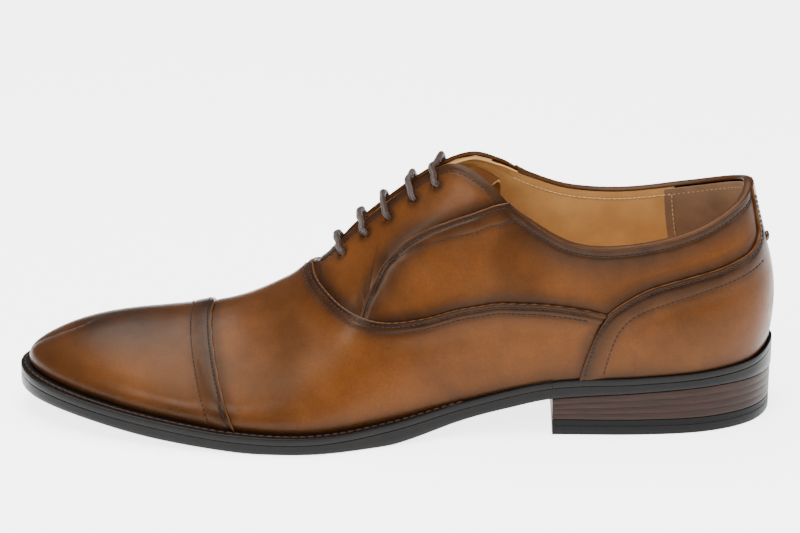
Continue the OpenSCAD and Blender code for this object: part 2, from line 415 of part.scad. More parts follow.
// ---------- welt, outsole and heel ----------
module welt_toe() color(black_c) strip(concat(stations(flex + gu, 11, 9), stations(11.25, 12.75, 8),
    stations(13, 24 - flex - gu, 9)), 0, 8, -0.25, welt_t - 0.25);
module welt_waist() color(black_c) {
    strip(stations(3.98, flex - gu, 9), 0, 8, -0.25, welt_t - 0.25);
    strip(stations(24 - flex + gu, 24 - 3.98, 9), 0, 8, -0.25, welt_t - 0.25);
}
module heel_rand() color(black_c) bar([for (i = [0:24]) let (s = mix(-3.94, 3.94, i / 24), side = s >= 0 ? 1 : -1, u = abs(s),
    f = feather(u, side), n = outward(u, side), a = f + at(ww, u)[0] * n, b = f - 7 * n)
    [a - [0, 0, 0.25], b - [0, 0, 2.2], b - [0, 0, welt_t], a - [0, 0, welt_t]]], false);
module outsole_toe() color(black_c) {
    us = concat(stations(flex + gu, 11, 12), [11.25, 11.5, 11.7, 11.85, 11.94, 12]);
    layer(us, edge_out(us, 0), seat(us, -welt_t - 0.2), under(us, 0));
}
module outsole_rear() color(black_c) {
    us = concat([0, 0.06, 0.15, 0.3, 0.5, 0.75], stations(1, flex - gu, 24));
    layer(us, edge_out(us, 0), seat(us, -welt_t - 0.2), under(us, 0));
}
heel_us = concat([0, 0.06, 0.15, 0.3, 0.5, 0.75], stations(1, 3.97, 10));
module heel_stack() color([0.32, 0.2, 0.15])
    layer(heel_us, edge_out(heel_us, -0.5), under(heel_us, -0.12), flat(heel_us, toplift_t + 0.1));
function heel_edge(u, side) = let (p = feather(u, side) + (at(ww, u)[0] - 0.9) * outward(u, side)) [p[0], p[1]];
module top_lift() color(black_c) linear_extrude(toplift_t)
    polygon(concat([for (u = heel_us) heel_edge(u, 1)], [for (i = [len(heel_us) - 1:-1:1]) heel_edge(heel_us[i], -1)]));
module heel_nails() color([0.7, 0.7, 0.68]) for (p = [[-140, -1.5], [-125, 12], [-125, -15], [-100, 16], [-100, -17], [-80, 14], [-80, -15]])
    translate([p[0], p[1], 8.5]) cylinder(d = 2, h = 17.5, $fn = 16);
module heel_stud() color([0.75, 0.72, 0.68]) translate([-150.6, -1.5, 74]) rotate([0, 90, 0]) {
    cylinder(d = stud_d, h = 0.9, $fn = 32);
    cylinder(d = 1.5, h = 1.9, $fn = 16);
}

// ---------- sewing ----------
module cap_stitching() color(dark_c) for (d = [0.055, 0.29])
    thread([for (i = [0:28]) let (v = mix(-0.97, 0.97, i / 28)) [at(cp, 1 - abs(v))[0] + d, 1 - abs(v), v >= 0 ? 1 : -1]]);
module vamp_stitching() color(dark_c) for (d = [1, 2.2])
    thread([for (i = [0:52]) let (k = mix(-0.97, 0.97, i / 52), q = at(vt, abs(k)), w = max(0, 1 - abs(k) / 0.3))
        [q[0] + 0.06 * d * w, min(1, q[1] - 0.03 * d * (1 - w)), k >= 0 ? 1 : -1]]);
module quarter_stitching() color(dark_c) for (side = [-1, 1]) {
    thread([for (i = [0:20]) let (q = at(qf, mix(0.04, 0.95, i / 20)), k = max(0, 1 - i / 7))
        [q[0] - 0.045, q[1] - 0.028 * (1 - k), side]]);
    thread([for (i = [0:18]) let (q = at(q2, i / 18)) [q[0], q[1], side]]);
}
module foxing_stitching() color(dark_c) for (side = [-1, 1]) {
    thread([for (i = [0:26]) let (m = mix(0.02, 0.97, i / 26), q = at(fx, m), k = min(1, max(0, (0.45 - m) * 4)),
        e = min(1, max(0, (m - 0.84) * 12)), a = max(k, e)) [q[0] - 0.06 * a, q[1] - 0.028 * (1 - a), side]]);
    thread([for (i = [0:20]) let (q = at(x2, i / 20)) [q[0], q[1], side]]);
}
module topline_stitching() color(dark_c) for (side = [-1, 1])
    thread([for (i = [0:36]) let (u = mix(6.8, 0.5, i / 36)) [u, 0.95 + 0.01 * min(1, max(0, u - 4.4)), side]]);
module welt_thread(ss) color(tan_c) bar([for (s = ss) let (p = loop_point(s, at(ww, loop_u(s))[0] * 0.55) + [0, 0, 0.15],
    q = loop_point(s, at(ww, loop_u(s))[0] * 0.55 + 0.5) + [0, 0, 0.15]) [p + [0, 0, 0.3], q, p - [0, 0, 0.3], 2 * p - q]], false);
module welt_stitching_toe() welt_thread(stations(flex + 2 * gu, 24 - flex - 2 * gu, 40));
module welt_stitching_waist() {
    welt_thread(stations(5, flex - 2 * gu, 10));
    welt_thread(stations(24 - flex + 2 * gu, 19, 10));
}

// ---------- lace ----------
// rings of a round cord through points, carried along without twist
function turned(v, a, b) = let (c = cross(a, b), k = a * b) k > 0.9999 ? v : v + cross(c, v) + cross(c, cross(c, v)) / (1 + k);
function cord_rings(P, r, n, i = 0, x = [0, 0, 1], d = undef) = i >= len(P) ? [] :
    let (e = unit(P[min(i + 1, len(P) - 1)] - P[max(i - 1, 0)]), y = i == 0 ? unit(x - (x * e) * e) : unit(turned(x, d, e)),
        w = unit(y - (y * e) * e), z = cross(e, w))
    concat([[for (a = [0:n - 1]) P[i] + r * (cos(360 * a / n) * w + sin(360 * a / n) * z)]], cord_rings(P, r, n, i + 1, w, e));
module lace() color(dark_c) bar(cord_rings(LACE, lace_d / 2, 8), true);
module aglet(tip, next) color(dark_c) {
    d = unit(tip - next);
    bar(cord_rings([tip + 0.2 * d, tip + 9 * d, tip + 18 * d], 1.2, 8), true);
}
module aglet_outer() aglet(LACE[0], LACE[1]);
module aglet_inner() aglet(LACE[len(LACE) - 1], LACE[len(LACE) - 2]);

toe_cap();
vamp();
facing_outer();
facing_inner();
quarter_outer();
quarter_inner();
heel_foxing();
topline_binding();
tongue();
facing_stay_outer();
facing_stay_inner();
toe_puff();
heel_counter();
vamp_lining_toe();
vamp_lining_rear();
quarter_lining_outer();
quarter_lining_inner();
heel_grip();
insole_toe();
insole_rear();
sock_toe();
sock_rear();
heel_pad();
shank();
cork_toe();
cork_rear();
welt_toe();
welt_waist();
heel_rand();
outsole_toe();
outsole_rear();
heel_stack();
top_lift();
heel_nails();
cap_stitching();
vamp_stitching();
quarter_stitching();
foxing_stitching();
topline_stitching();
welt_stitching_toe();
welt_stitching_waist();
lace();
aglet_outer();
aglet_inner();
heel_stud();
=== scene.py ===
import math
import bpy
import bmesh
import numpy as np
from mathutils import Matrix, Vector


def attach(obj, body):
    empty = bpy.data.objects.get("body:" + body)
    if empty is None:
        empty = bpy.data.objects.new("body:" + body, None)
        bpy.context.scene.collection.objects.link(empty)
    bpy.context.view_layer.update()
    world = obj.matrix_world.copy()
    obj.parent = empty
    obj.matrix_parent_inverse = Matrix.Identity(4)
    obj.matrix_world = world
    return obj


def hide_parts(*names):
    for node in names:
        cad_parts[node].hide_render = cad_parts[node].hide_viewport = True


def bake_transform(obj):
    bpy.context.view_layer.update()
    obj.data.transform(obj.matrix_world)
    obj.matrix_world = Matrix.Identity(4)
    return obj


# Looks of the left-foot cap-toe oxford. Lengths are in millimetres until a mesh is made, and MM turns
# them to metres.
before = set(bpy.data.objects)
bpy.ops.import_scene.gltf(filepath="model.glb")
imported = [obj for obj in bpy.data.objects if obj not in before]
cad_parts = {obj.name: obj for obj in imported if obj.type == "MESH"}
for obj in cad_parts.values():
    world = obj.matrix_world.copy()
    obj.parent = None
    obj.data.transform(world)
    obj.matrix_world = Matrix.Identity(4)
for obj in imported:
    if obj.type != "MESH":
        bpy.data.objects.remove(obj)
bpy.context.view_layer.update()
MM = 0.001

# ---------- camera ----------
LOOK_AT = Vector((-0.0015, -0.0015, 0.0605))
CAMERA_DISTANCE = 1.9
CAMERA_HEIGHT_ANGLE = math.radians(22)
FOCAL_LENGTH = 210.3
camera = bpy.data.objects.new("camera", bpy.data.cameras.new("camera"))
bpy.context.scene.collection.objects.link(camera)
bpy.context.scene.camera = camera
camera.data.lens = FOCAL_LENGTH
camera.data.sensor_width = 36
camera.data.clip_end = 20
towards_camera = Vector((0, math.cos(CAMERA_HEIGHT_ANGLE), math.sin(CAMERA_HEIGHT_ANGLE)))
camera.location = LOOK_AT + CAMERA_DISTANCE * towards_camera
camera.rotation_euler = (-towards_camera).to_track_quat("-Z", "Y").to_euler()

# ---------- route of the lace, in metres ----------
LACE_WIDTH = 0.0026
LACE = [
    (0.018, 0.0115, 0.0146), (0.008, 0.013, 0.0149), (-0.003, 0.0145, 0.0165), (-0.014, 0.0165, 0.0185),
    (-0.023, 0.0185, 0.0215), (-0.0295, 0.0205, 0.027), (-0.032, 0.025, 0.0365), (-0.0335, 0.0235, 0.049),
    (-0.034, 0.0215, 0.0615), (-0.0325, 0.018, 0.074), (-0.0295, 0.014, 0.085), (-0.0235, 0.0105, 0.0895),
    (-0.0145, 0.0085, 0.0865), (-0.0045, 0.008, 0.08), (0.005, 0.007, 0.073), (0.011, 0.0055, 0.0685),
    (0.0155, 0.004, 0.0655), (0.018, 0.0015, 0.065), (0.021, 0.0024, 0.0676), (0.0225, 0.0029, 0.0694),
    (0.0235, 0.0015, 0.0707), (0.0235, -0.001, 0.0715), (0.0245, -0.0045, 0.0723), (0.024, -0.006, 0.0721),
    (0.0245, -0.008, 0.0723), (0.0235, -0.011, 0.0717), (0.0235, -0.0133, 0.0707), (0.0225, -0.0143, 0.0692),
    (0.021, -0.013, 0.067), (0.018, -0.0115, 0.066), (0.014, -0.0115, 0.07), (0.011, -0.011, 0.0735),
    (0.0115, -0.0134, 0.0768), (0.013, -0.0145, 0.0787), (0.014, -0.0141, 0.0802), (0.014, -0.0117, 0.0816),
    (0.015, -0.0085, 0.0822), (0.015, -0.005, 0.082), (0.015, -0.002, 0.082), (0.014, 0.0015, 0.0815),
    (0.014, 0.0035, 0.079), (0.013, 0.0045, 0.078), (0.0115, 0.0035, 0.0765), (0.0085, 0.002, 0.0755),
    (0.005, 0.0025, 0.078), (0.0015, 0.003, 0.0815), (0.0025, 0.005, 0.084), (0.004, 0.006, 0.086),
    (0.0045, 0.0055, 0.087), (0.005, 0.0035, 0.0889), (0.0055, 0.0005, 0.0904), (0.0055, -0.004, 0.0904),
    (0.0055, -0.008, 0.0904), (0.0045, -0.011, 0.089), (0.004, -0.013, 0.087), (0.0035, -0.0135, 0.086),
    (0.0025, -0.012, 0.084), (0, -0.01, 0.083), (-0.0045, -0.0095, 0.086), (-0.0095, -0.01, 0.09),
    (-0.009, -0.012, 0.0925), (-0.008, -0.0135, 0.094), (-0.0075, -0.013, 0.0955), (-0.007, -0.0115, 0.097),
    (-0.0065, -0.0085, 0.0992), (-0.0055, -0.0035, 0.0992), (-0.0045, 0.0015, 0.0992),
    (-0.0055, 0.0045, 0.097), (-0.006, 0.0065, 0.095), (-0.0065, 0.007, 0.094), (-0.0075, 0.0055, 0.0925),
    (-0.01, 0.0035, 0.0915), (-0.014, 0.0035, 0.094), (-0.0175, 0.004, 0.0965), (-0.017, 0.0065, 0.099),
    (-0.0155, 0.008, 0.1005), (-0.015, 0.0075, 0.102), (-0.015, 0.006, 0.1035), (-0.014, 0.003, 0.1055),
    (-0.016, -0.0035, 0.105), (-0.018, -0.01, 0.106), (-0.0185, -0.0136, 0.1044), (-0.019, -0.0151, 0.1022),
    (-0.0195, -0.015, 0.1), (-0.0205, -0.0135, 0.0985), (-0.0235, -0.012, 0.0965),
    (-0.0285, -0.0145, 0.0955), (-0.032, -0.017, 0.092), (-0.0345, -0.02, 0.084), (-0.035, -0.0225, 0.073),
    (-0.034, -0.0235, 0.0605), (-0.0325, -0.0245, 0.048), (-0.03, -0.0245, 0.0355), (-0.027, -0.0195, 0.027),
    (-0.021, -0.018, 0.0215), (-0.012, -0.0165, 0.0185), (-0.001, -0.0155, 0.0165), (0.01, -0.015, 0.0149),
    (0.02, -0.0145, 0.0146)]

# ---------- driving tables, in millimetres ----------
# Feather line where the upper meets the welt: station, x, y. Station 0 is the heel back, 12 the toe tip.
FEATHER_OUTER = [(0, -152, -1.5), (1, -144.5, 16.5), (2, -125, 27.5), (3, -97, 31), (4, -62, 30.5),
                 (5, -27, 31), (6, 4, 39), (7, 34, 46.8), (8, 65, 44.3), (9, 97, 36.5), (10, 124, 25),
                 (11, 142.5, 11), (12, 150, -3.5)]
FEATHER_INNER = [(0, -152, -1.5), (1, -144.5, -19.5), (2, -125, -30.5), (3, -97, -31.5), (4, -62, -28),
                 (5, -27, -29.5), (6, 4, -37), (7, 34, -45), (8, 65, -46), (9, 97, -39.5), (10, 124, -30),
                 (11, 142.5, -18), (12, 150, -3.5)]
FEATHER_HEIGHT = [(0, 31.5), (1, 28.5), (2, 27), (3, 25.5), (4, 23.5), (5, 15.5), (6, 9.8), (7, 7.5), (8, 8),
                  (9, 11.3), (10, 14.8), (11, 17.3), (12, 18.5)]
# Top edge of each side: the collar, the lacing edge, then the ridge over the toes, which both sides share.
RIDGE_FRONT = [(7, 31, -6.5, 62), (8, 62, -8.5, 44.5), (9, 90, -7.5, 40), (10, 108, -6.5, 39),
               (11, 121, -5.5, 36.5), (12, 126, -4.5, 34.5)]
RIDGE_OUTER = [(0, -143.5, -1.5, 98), (1, -138, 11.5, 92.5), (2, -119, 21.5, 84), (3, -92, 25.5, 79),
               (3.7, -70, 25.5, 80.5), (4.3, -50, 19.5, 91), (4.75, -36, 11.5, 103), (5.1, -24, 4.5, 107.5),
               (5.45, -12, 1.5, 102), (6, 6, -0.5, 87), (6.5, 18, -3.5, 76)] + RIDGE_FRONT
RIDGE_INNER = [(0, -143.5, -1.5, 98), (1, -138, -14.5, 95), (2, -119, -24.5, 89), (3, -92, -28.5, 84.5),
               (3.7, -70, -28.5, 86), (4.3, -53, -25.5, 93), (4.75, -42, -19.5, 101), (5.1, -30, -13.5, 106),
               (5.45, -15, -8.5, 102), (6, 6, -7.5, 87), (6.5, 18, -8, 76)] + RIDGE_FRONT
# how far each side bulges out and rises near the feather line, and near the top edge
BULGE_LOW = [(0, 6), (1, 5.5), (2, 4.5), (4, 1.5), (6, 3), (8, 3.5), (10, 3.5), (12, 3)]
RISE_LOW = [(0, 30), (3, 24), (5, 26), (7, 20), (9, 13), (12, 10)]
BULGE_TOP = [(0, 5), (3, 1.5), (4, 3), (5, 14), (6, 15), (7, 14), (8, 12.5), (9, 14), (10, 13), (12, 11.5)]
DROP_TOP = [(0, 26), (3, 24), (4, 22), (5, 8), (6, 2), (7, 0), (12, 0)]
RIDGE_SLOPE = [(0, 0), (6.5, 0), (7, -0.6), (8, -0.35), (9, -0.1), (10, -0.12), (11, -0.22), (12, -0.4)]
# how far welt and outsole stand out past the feather line, and the underside of the outsole
WELT_WIDTH = [(0, 1.5), (2, 1.2), (4, 1.2), (5, 2.2), (6, 4), (7, 4.8), (8, 5.5), (9, 6), (10, 6.3),
              (11, 6), (12, 4)]
SOLE_UNDERSIDE = [(0, 18.9), (1, 19.8), (2, 19.9), (3, 18.4), (4, 15.7), (4.5, 11.6), (5, 7.3),
                  (5.5, 3.1), (5.8, 1.1), (6, 0.2), (6.3, 0), (7.7, 0), (8, 0.4), (9, 3.4), (10, 7.2),
                  (11, 9.3), (12, 9.6)]
# seams of the upper: run, station, share of the height
CAP_EDGE = [(0, 8), (0.2, 8.12), (0.45, 8.25), (0.65, 8.34), (0.85, 8.4), (1, 8.41)]
VAMP_TOP = [(0, 7.1, 1), (0.1, 7.05, 0.82), (0.2, 6.9, 0.68), (0.3, 6.68, 0.565), (0.42, 6.36, 0.475),
            (0.55, 5.9, 0.41), (0.65, 5.4, 0.375), (0.75, 4.9, 0.386), (0.85, 4.35, 0.458),
            (0.93, 3.85, 0.532), (0.97, 3.55, 0.54), (1, 3.32, 0.51)]
VAMP_FOOT = [(0, 8.4, 1), (0.1, 8.38, 0.8), (0.2, 8.31, 0.58), (0.3, 8.2, 0.35), (0.4, 8.06, 0.1),
             (0.44, 8.01, 0.01), (0.45, 8, 0), (0.46, 7.95, 0), (0.55, 7.35, 0), (0.65, 6.6, 0),
             (0.8, 5.4, 0), (1, 3.7, 0)]
QUARTER_FRONT = [(0, 6.42, 0.49), (0.1, 6.34, 0.55), (0.2, 6.2, 0.603), (0.3, 6.03, 0.655), (0.4, 5.78, 0.69),
                 (0.5, 5.5, 0.69), (0.6, 5.22, 0.688), (0.7, 4.99, 0.72), (0.8, 4.78, 0.8), (0.9, 4.6, 0.905),
                 (1, 4.47, 1)]
FOXING_TOP = [(0, 3.67, 0), (0.1, 3.58, 0.18), (0.2, 3.46, 0.36), (0.3, 3.29, 0.515), (0.4, 3.02, 0.63),
              (0.5, 2.65, 0.71), (0.6, 2.1, 0.73), (0.7, 1.5, 0.708), (0.8, 0.95, 0.7), (0.86, 0.62, 0.725),
              (0.9, 0.47, 0.765), (0.95, 0.4, 0.87), (1, 0.36, 1)]
FOXING_FOOT = [(0, 3.67), (0.2, 3), (0.4, 2.2), (0.6, 1.4), (0.75, 0.85), (0.85, 0.5), (0.93, 0.36), (1, 0.2)]
LINING_SEAM = [(0, 5.3), (0.3, 5.95), (0.6, 6.6), (1, 7.15)]
# second rows of stitches behind the quarter front and under the foxing edge
QUARTER_ROW = [(0, 6.2, 0.56), (0.15, 6.07, 0.635), (0.3, 5.83, 0.645), (0.45, 5.55, 0.632),
               (0.6, 5.25, 0.622), (0.75, 4.95, 0.65), (0.9, 4.62, 0.775), (1, 4.38, 0.92)]
FOXING_ROW = [(0, 3.4, 0.02), (0.15, 3.31, 0.19), (0.3, 3.17, 0.36), (0.42, 2.95, 0.48), (0.55, 2.5, 0.555),
              (0.7, 1.9, 0.585), (0.85, 1.2, 0.575), (1, 0.6, 0.57)]
# How far each row of stitches lies from the edge of its piece.
CAP_ROWS = (1.7, 8.9)
VAMP_ROWS = (1.8, 4.4)
QUARTER_EDGE_ROW = 1.9
FOXING_EDGE_ROW = 1.8
TOPLINE_ROW = 3.0
LINING_ROW = 3.6
# Stitches of the upper: spacing, length, radius, and how deep they sit in the leather.
STITCH = (2.05, 1.7, 0.25)
SUNK = -0.12
# Lace holes: station, share of the height.
HOLES = [(6.7, 0.86), (6.32, 0.868), (5.95, 0.872), (5.64, 0.872), (5.36, 0.878)]
HOLE_WIDTH = 3.6
# Thicknesses, and depths below the outer face.
LEATHER = 1.3
LINING = 0.8
LINING_DEPTH = 2.5
INNER_DEPTH = LINING_DEPTH + LINING
TONGUE_DEPTH = 6.7
WELT = 3.0
# Height of the top lift, and the stations where the heel and the collar end in front.
TOP_LIFT = 6.8
STACK_LAYERS = 4
HEEL_FRONT = 3.97
COLLAR_FRONT = 4.46
# How far a leather piece runs on beneath the one lapped over it.
UNDERLAP = 7.0


# ---------- curves and the shape of the last ----------
class Curve:
    """Smooth curve through rows of a parameter and its values; mirror is the table it runs on into."""

    def __init__(self, rows, mirror=None):
        rows = np.array(rows, float)
        first = 2 * rows[0] - rows[1]
        last = 2 * rows[-1] - rows[-2]
        if mirror is not None:
            other = np.array(mirror, float)
            first[1:] = other[1, 1:]
            last[1:] = other[-2, 1:]
        rows = np.vstack([first, rows, last])
        self.key = rows[:, 0]
        self.value = rows[:, 1:]
        self.slope = (self.value[2:] - self.value[:-2]) / (self.key[2:] - self.key[:-2])[:, None]

    def __call__(self, u):
        u = np.asarray(u, float)
        i = np.clip(np.searchsorted(self.key, u, side="right") - 1, 1, len(self.key) - 3)
        step = (self.key[i + 1] - self.key[i])[..., None]
        s = (u - self.key[i])[..., None] / step
        start, end = self.value[i], self.value[i + 1]
        out, into = self.slope[i - 1] * step, self.slope[i] * step
        return ((2 * s ** 3 - 3 * s ** 2 + 1) * start + (s ** 3 - 2 * s ** 2 + s) * out
                + (3 * s ** 2 - 2 * s ** 3) * end + (s ** 3 - s ** 2) * into)


def both_sides(outer, inner):
    return Curve(outer, inner), Curve(inner, outer)


feather_xy = both_sides(FEATHER_OUTER, FEATHER_INNER)
feather_z = Curve(FEATHER_HEIGHT, FEATHER_HEIGHT)
ridge = both_sides(RIDGE_OUTER, RIDGE_INNER)
bulge_low = Curve(BULGE_LOW, BULGE_LOW)
rise_low = Curve(RISE_LOW, RISE_LOW)
bulge_top = Curve(BULGE_TOP, BULGE_TOP)
drop_top = Curve(DROP_TOP, DROP_TOP)
ridge_slope = Curve(RIDGE_SLOPE)
welt_width = Curve(WELT_WIDTH, WELT_WIDTH)
underside = Curve(SOLE_UNDERSIDE, SOLE_UNDERSIDE)
cap_edge = Curve(CAP_EDGE)
vamp_top = Curve(VAMP_TOP)
vamp_foot = Curve(VAMP_FOOT)
quarter_front = Curve(QUARTER_FRONT)
foxing_top = Curve(FOXING_TOP)
foxing_foot = Curve(FOXING_FOOT)
lining_seam = Curve(LINING_SEAM)
quarter_row = Curve(QUARTER_ROW)
foxing_row = Curve(FOXING_ROW)


def unit(v):
    return v / np.maximum(np.linalg.norm(v, axis=-1, keepdims=True), 1e-12)


def mix(a, b, w):
    return a + (b - a) * w


def smooth(x, a, b):
    s = np.clip((x - a) / (b - a), 0, 1)
    return s * s * (3 - 2 * s)


def folded(u, side):
    """A station past either end lies on the other side."""
    u, side = np.broadcast_arrays(np.asarray(u, float), np.asarray(side, float))
    over = (u < 0) | (u > 12)
    return np.where(u < 0, -u, np.where(u > 12, 24 - u, u)), np.where(over, -side, side)


def pick(pair, u, side):
    return np.where((side > 0)[..., None], pair[0](u), pair[1](u))


def level(v):
    return np.concatenate([v, np.zeros(v.shape[:-1] + (1,))], axis=-1)


def outward(u, side):
    u, side = folded(u, side)
    d = pick(feather_xy, u + 0.002, side) - pick(feather_xy, u - 0.002, side)
    n = np.stack([-d[..., 1], d[..., 0]], axis=-1) * side[..., None]
    return level(unit(n))


def feather(u, side):
    u, side = folded(u, side)
    return np.concatenate([pick(feather_xy, u, side), feather_z(u)], axis=-1)


UP = np.array([0, 0, 1.0])


def surf(u, t, side):
    """Point of the outer face of the upper, at station u and share of the height t."""
    u, side = folded(u, side)
    t = np.broadcast_to(np.asarray(t, float), u.shape)[..., None]
    low = feather(u, side)
    top = pick(ridge, u, side)
    n = outward(u, side)
    a = low + bulge_low(u) * n + rise_low(u) * UP
    b = top + bulge_top(u) * (n + ridge_slope(u) * n[..., :1] * UP) - drop_top(u) * UP
    w = 1 - t
    return w ** 3 * low + 3 * w * w * t * a + 3 * w * t * t * b + t ** 3 * top


def one_normal(u, t, side):
    t = np.clip(t, 0.004, 0.996)
    a = surf(u + 0.004, t, side) - surf(u - 0.004, t, side)
    b = surf(u, t + 0.003, side) - surf(u, t - 0.003, side)
    return -unit(np.cross(a, b)) * np.broadcast_to(side, a.shape[:-1])[..., None]


def normal(u, t, side):
    """Outward normal, shared by both sides along the closed ridge over the toes."""
    u, t, side = np.broadcast_arrays(np.asarray(u, float), np.asarray(t, float), np.asarray(side, float))
    n = one_normal(u, t, side)
    shared = unit(n + one_normal(u, t, -side))
    w = (np.clip((t - 0.97) / 0.03, 0, 1) * smooth(u, 6.95, 7.05))[..., None]
    return unit(n * (1 - w) + shared * w)


def shifted(path, d):
    """A path on the upper moved sideways over its surface by d millimetres."""
    u, t, side = path
    c = np.clip(t, 0.004, 0.996)
    pu = (surf(u + 0.004, c, side) - surf(u - 0.004, c, side)) / 0.008
    pt = (surf(u, c + 0.003, side) - surf(u, c - 0.003, side)) / 0.006
    along = unit(np.gradient(surf(u, t, side), axis=0))
    step = d * np.cross(along, normal(u, t, side))
    uu, ut, tt = (pu * pu).sum(-1), (pu * pt).sum(-1), (pt * pt).sum(-1)
    us, ts = (pu * step).sum(-1), (pt * step).sum(-1)
    det = uu * tt - ut * ut
    return np.array([u + (us * tt - ts * ut) / det, t + (uu * ts - ut * us) / det, side])


def path_of(values, side):
    u, t = values[..., 0], values[..., 1]
    return np.array([u, t, np.broadcast_to(side, u.shape)], float)


def polyline(path):
    return surf(*path)


def distance(points, line):
    """Distance of each point from a dense line of points, in millimetres."""
    flat = points.reshape(-1, 3)
    out = np.empty(len(flat))
    for i in range(0, len(flat), 4000):
        block = flat[i:i + 4000]
        out[i:i + 4000] = np.sqrt(((block[:, None, :] - line[None]) ** 2).sum(-1).min(-1))
    return out.reshape(points.shape[:-1])


# ---------- seams ----------
# places along a whole seam, and along one side of it
run = np.linspace(-1, 1, 401)
half = np.linspace(0, 1, 301)
cap_seam = path_of(np.stack([cap_edge(1 - abs(run))[:, 0], 1 - abs(run)], -1), np.sign(run + 1e-9))
vamp_seam = path_of(vamp_top(abs(run)), np.sign(run + 1e-9))
quarter_seams = {s: path_of(quarter_front(half), s) for s in (1, -1)}
foxing_seams = {s: path_of(foxing_top(half), s) for s in (1, -1)}
collar = {s: path_of(np.stack([mix(COLLAR_FRONT, 0, half), half * 0 + 1], -1), s) for s in (1, -1)}
lacing_edge = {s: path_of(np.stack([mix(7, COLLAR_FRONT, half), half * 0 + 1], -1), s) for s in (1, -1)}
foot_line = {s: path_of(np.stack([mix(0, 12, half), half * 0], -1), s) for s in (1, -1)}
CAP_LINE = polyline(cap_seam)
VAMP_LINE = polyline(vamp_seam)
QUARTER_LINES = np.vstack([polyline(quarter_seams[s]) for s in (1, -1)])
FOXING_LINES = np.vstack([polyline(foxing_seams[s]) for s in (1, -1)])
TOP_LINES = np.vstack([polyline(p[s]) for p in (collar, lacing_edge) for s in (1, -1)])
FOOT_LINES = np.vstack([polyline(foot_line[s]) for s in (1, -1)])
# height of a lapped edge, and how far back the rise runs out
LAP_RISE = 1.1
LAP_REACH = 13


def lap_lift(d):
    """Height of a lapped edge over the piece under it, with its rounded cut edge."""
    edge = np.interp(d, [0, 0.15, 0.4, 0.9], [0.55, 0.86, 0.97, 1.0])
    return LAP_RISE * edge * (1 - smooth(d, 1.0, LAP_REACH))


def groove(d, at, deep=0.22, wide=0.75):
    return -deep * np.exp(-((d - at) / wide) ** 2)


def under_lift(d):
    """Dip of the part of a piece that runs beneath its neighbour; d is from its hidden edge."""
    return np.interp(d, [0, UNDERLAP - 0.3, UNDERLAP + 3.5], [-1.0, -0.22, 0])


# ---------- meshes ----------
class Builder:
    """Collects points in millimetres, faces, and the darkening and cut-edge values of each point; the
    darkening is partly burnish and partly painted shade.
    """

    def __init__(self):
        self.points, self.faces, self.burn, self.edge, self.size = [], [], [], [], 0

    def add(self, points, burn=0.0, edge=0.0):
        flat = points.reshape(-1, 3)
        first = self.size
        self.points.append(flat)
        self.burn.append(np.broadcast_to(burn, points.shape[:-1]).ravel())
        self.edge.append(np.broadcast_to(edge, points.shape[:-1]).ravel())
        self.size += len(flat)
        return first + np.arange(len(flat)).reshape(points.shape[:-1])

    def grid(self, rows):
        quads = np.stack([rows[:-1, :-1], rows[1:, :-1], rows[1:, 1:], rows[:-1, 1:]], -1)
        self.faces.extend(quads.reshape(-1, 4).tolist())

    def sheet(self, front, back):
        """The two faces of a sheet and the four walls between them."""
        self.grid(front)
        self.grid(back)
        for i in (0, -1):
            self.grid(np.stack([front[i], back[i]]))
        for i in (0, -1):
            self.grid(np.stack([front[:, i], back[:, i]]))

    def bar(self, rings, first=True, last=True):
        """The skin over a row of rings, with its ends closed."""
        self.grid(np.hstack([rings, rings[:, :1]]))
        for ring, closed in ((rings[0], first), (rings[-1], last)):
            if closed:
                self.faces.append(ring.tolist())

    def make(self, name, material, slot, merge=0.004, sharp=38):
        mesh = bpy.data.meshes.new(name)
        mesh.from_pydata((np.vstack(self.points) * MM).tolist(), [], self.faces)
        for key, values in (("burn", self.burn), ("edge", self.edge)):
            layer = mesh.attributes.new(key, "FLOAT", "POINT")
            layer.data.foreach_set("value", np.concatenate(values).astype(np.float32))
        work = bmesh.new()
        work.from_mesh(mesh)
        bmesh.ops.remove_doubles(work, verts=work.verts, dist=merge * MM)
        bmesh.ops.dissolve_degenerate(work, edges=work.edges, dist=0.001 * MM)
        loose = [v for v in work.verts if not v.link_faces]
        bmesh.ops.delete(work, geom=loose, context="VERTS")
        bmesh.ops.recalc_face_normals(work, faces=work.faces)
        work.to_mesh(mesh)
        work.free()
        mesh.shade_smooth()
        mesh.set_sharp_from_angle(angle=math.radians(sharp))
        mesh.materials.append(material)
        obj = bpy.data.objects.new(name, mesh)
        bpy.context.scene.collection.objects.link(obj)
        return obj


def shell(build, u, t, side, lift, thick, burn=0.0, edge=0.0):
    """Leather between its outer face, lifted off the last's surface, and its inner face."""
    base = surf(u, t, side)
    n = normal(u, t, side)
    lift = np.broadcast_to(lift, u.shape)[..., None]
    outer = build.add(base + lift * n, burn, edge)
    inner = build.add(base + (lift - thick) * n, 0.2)
    build.sheet(outer, inner)


def piece(name, material, slot, *sheet):
    """A mesh of one shell."""
    build = Builder()
    shell(build, *sheet)
    return build.make(name, material, slot)


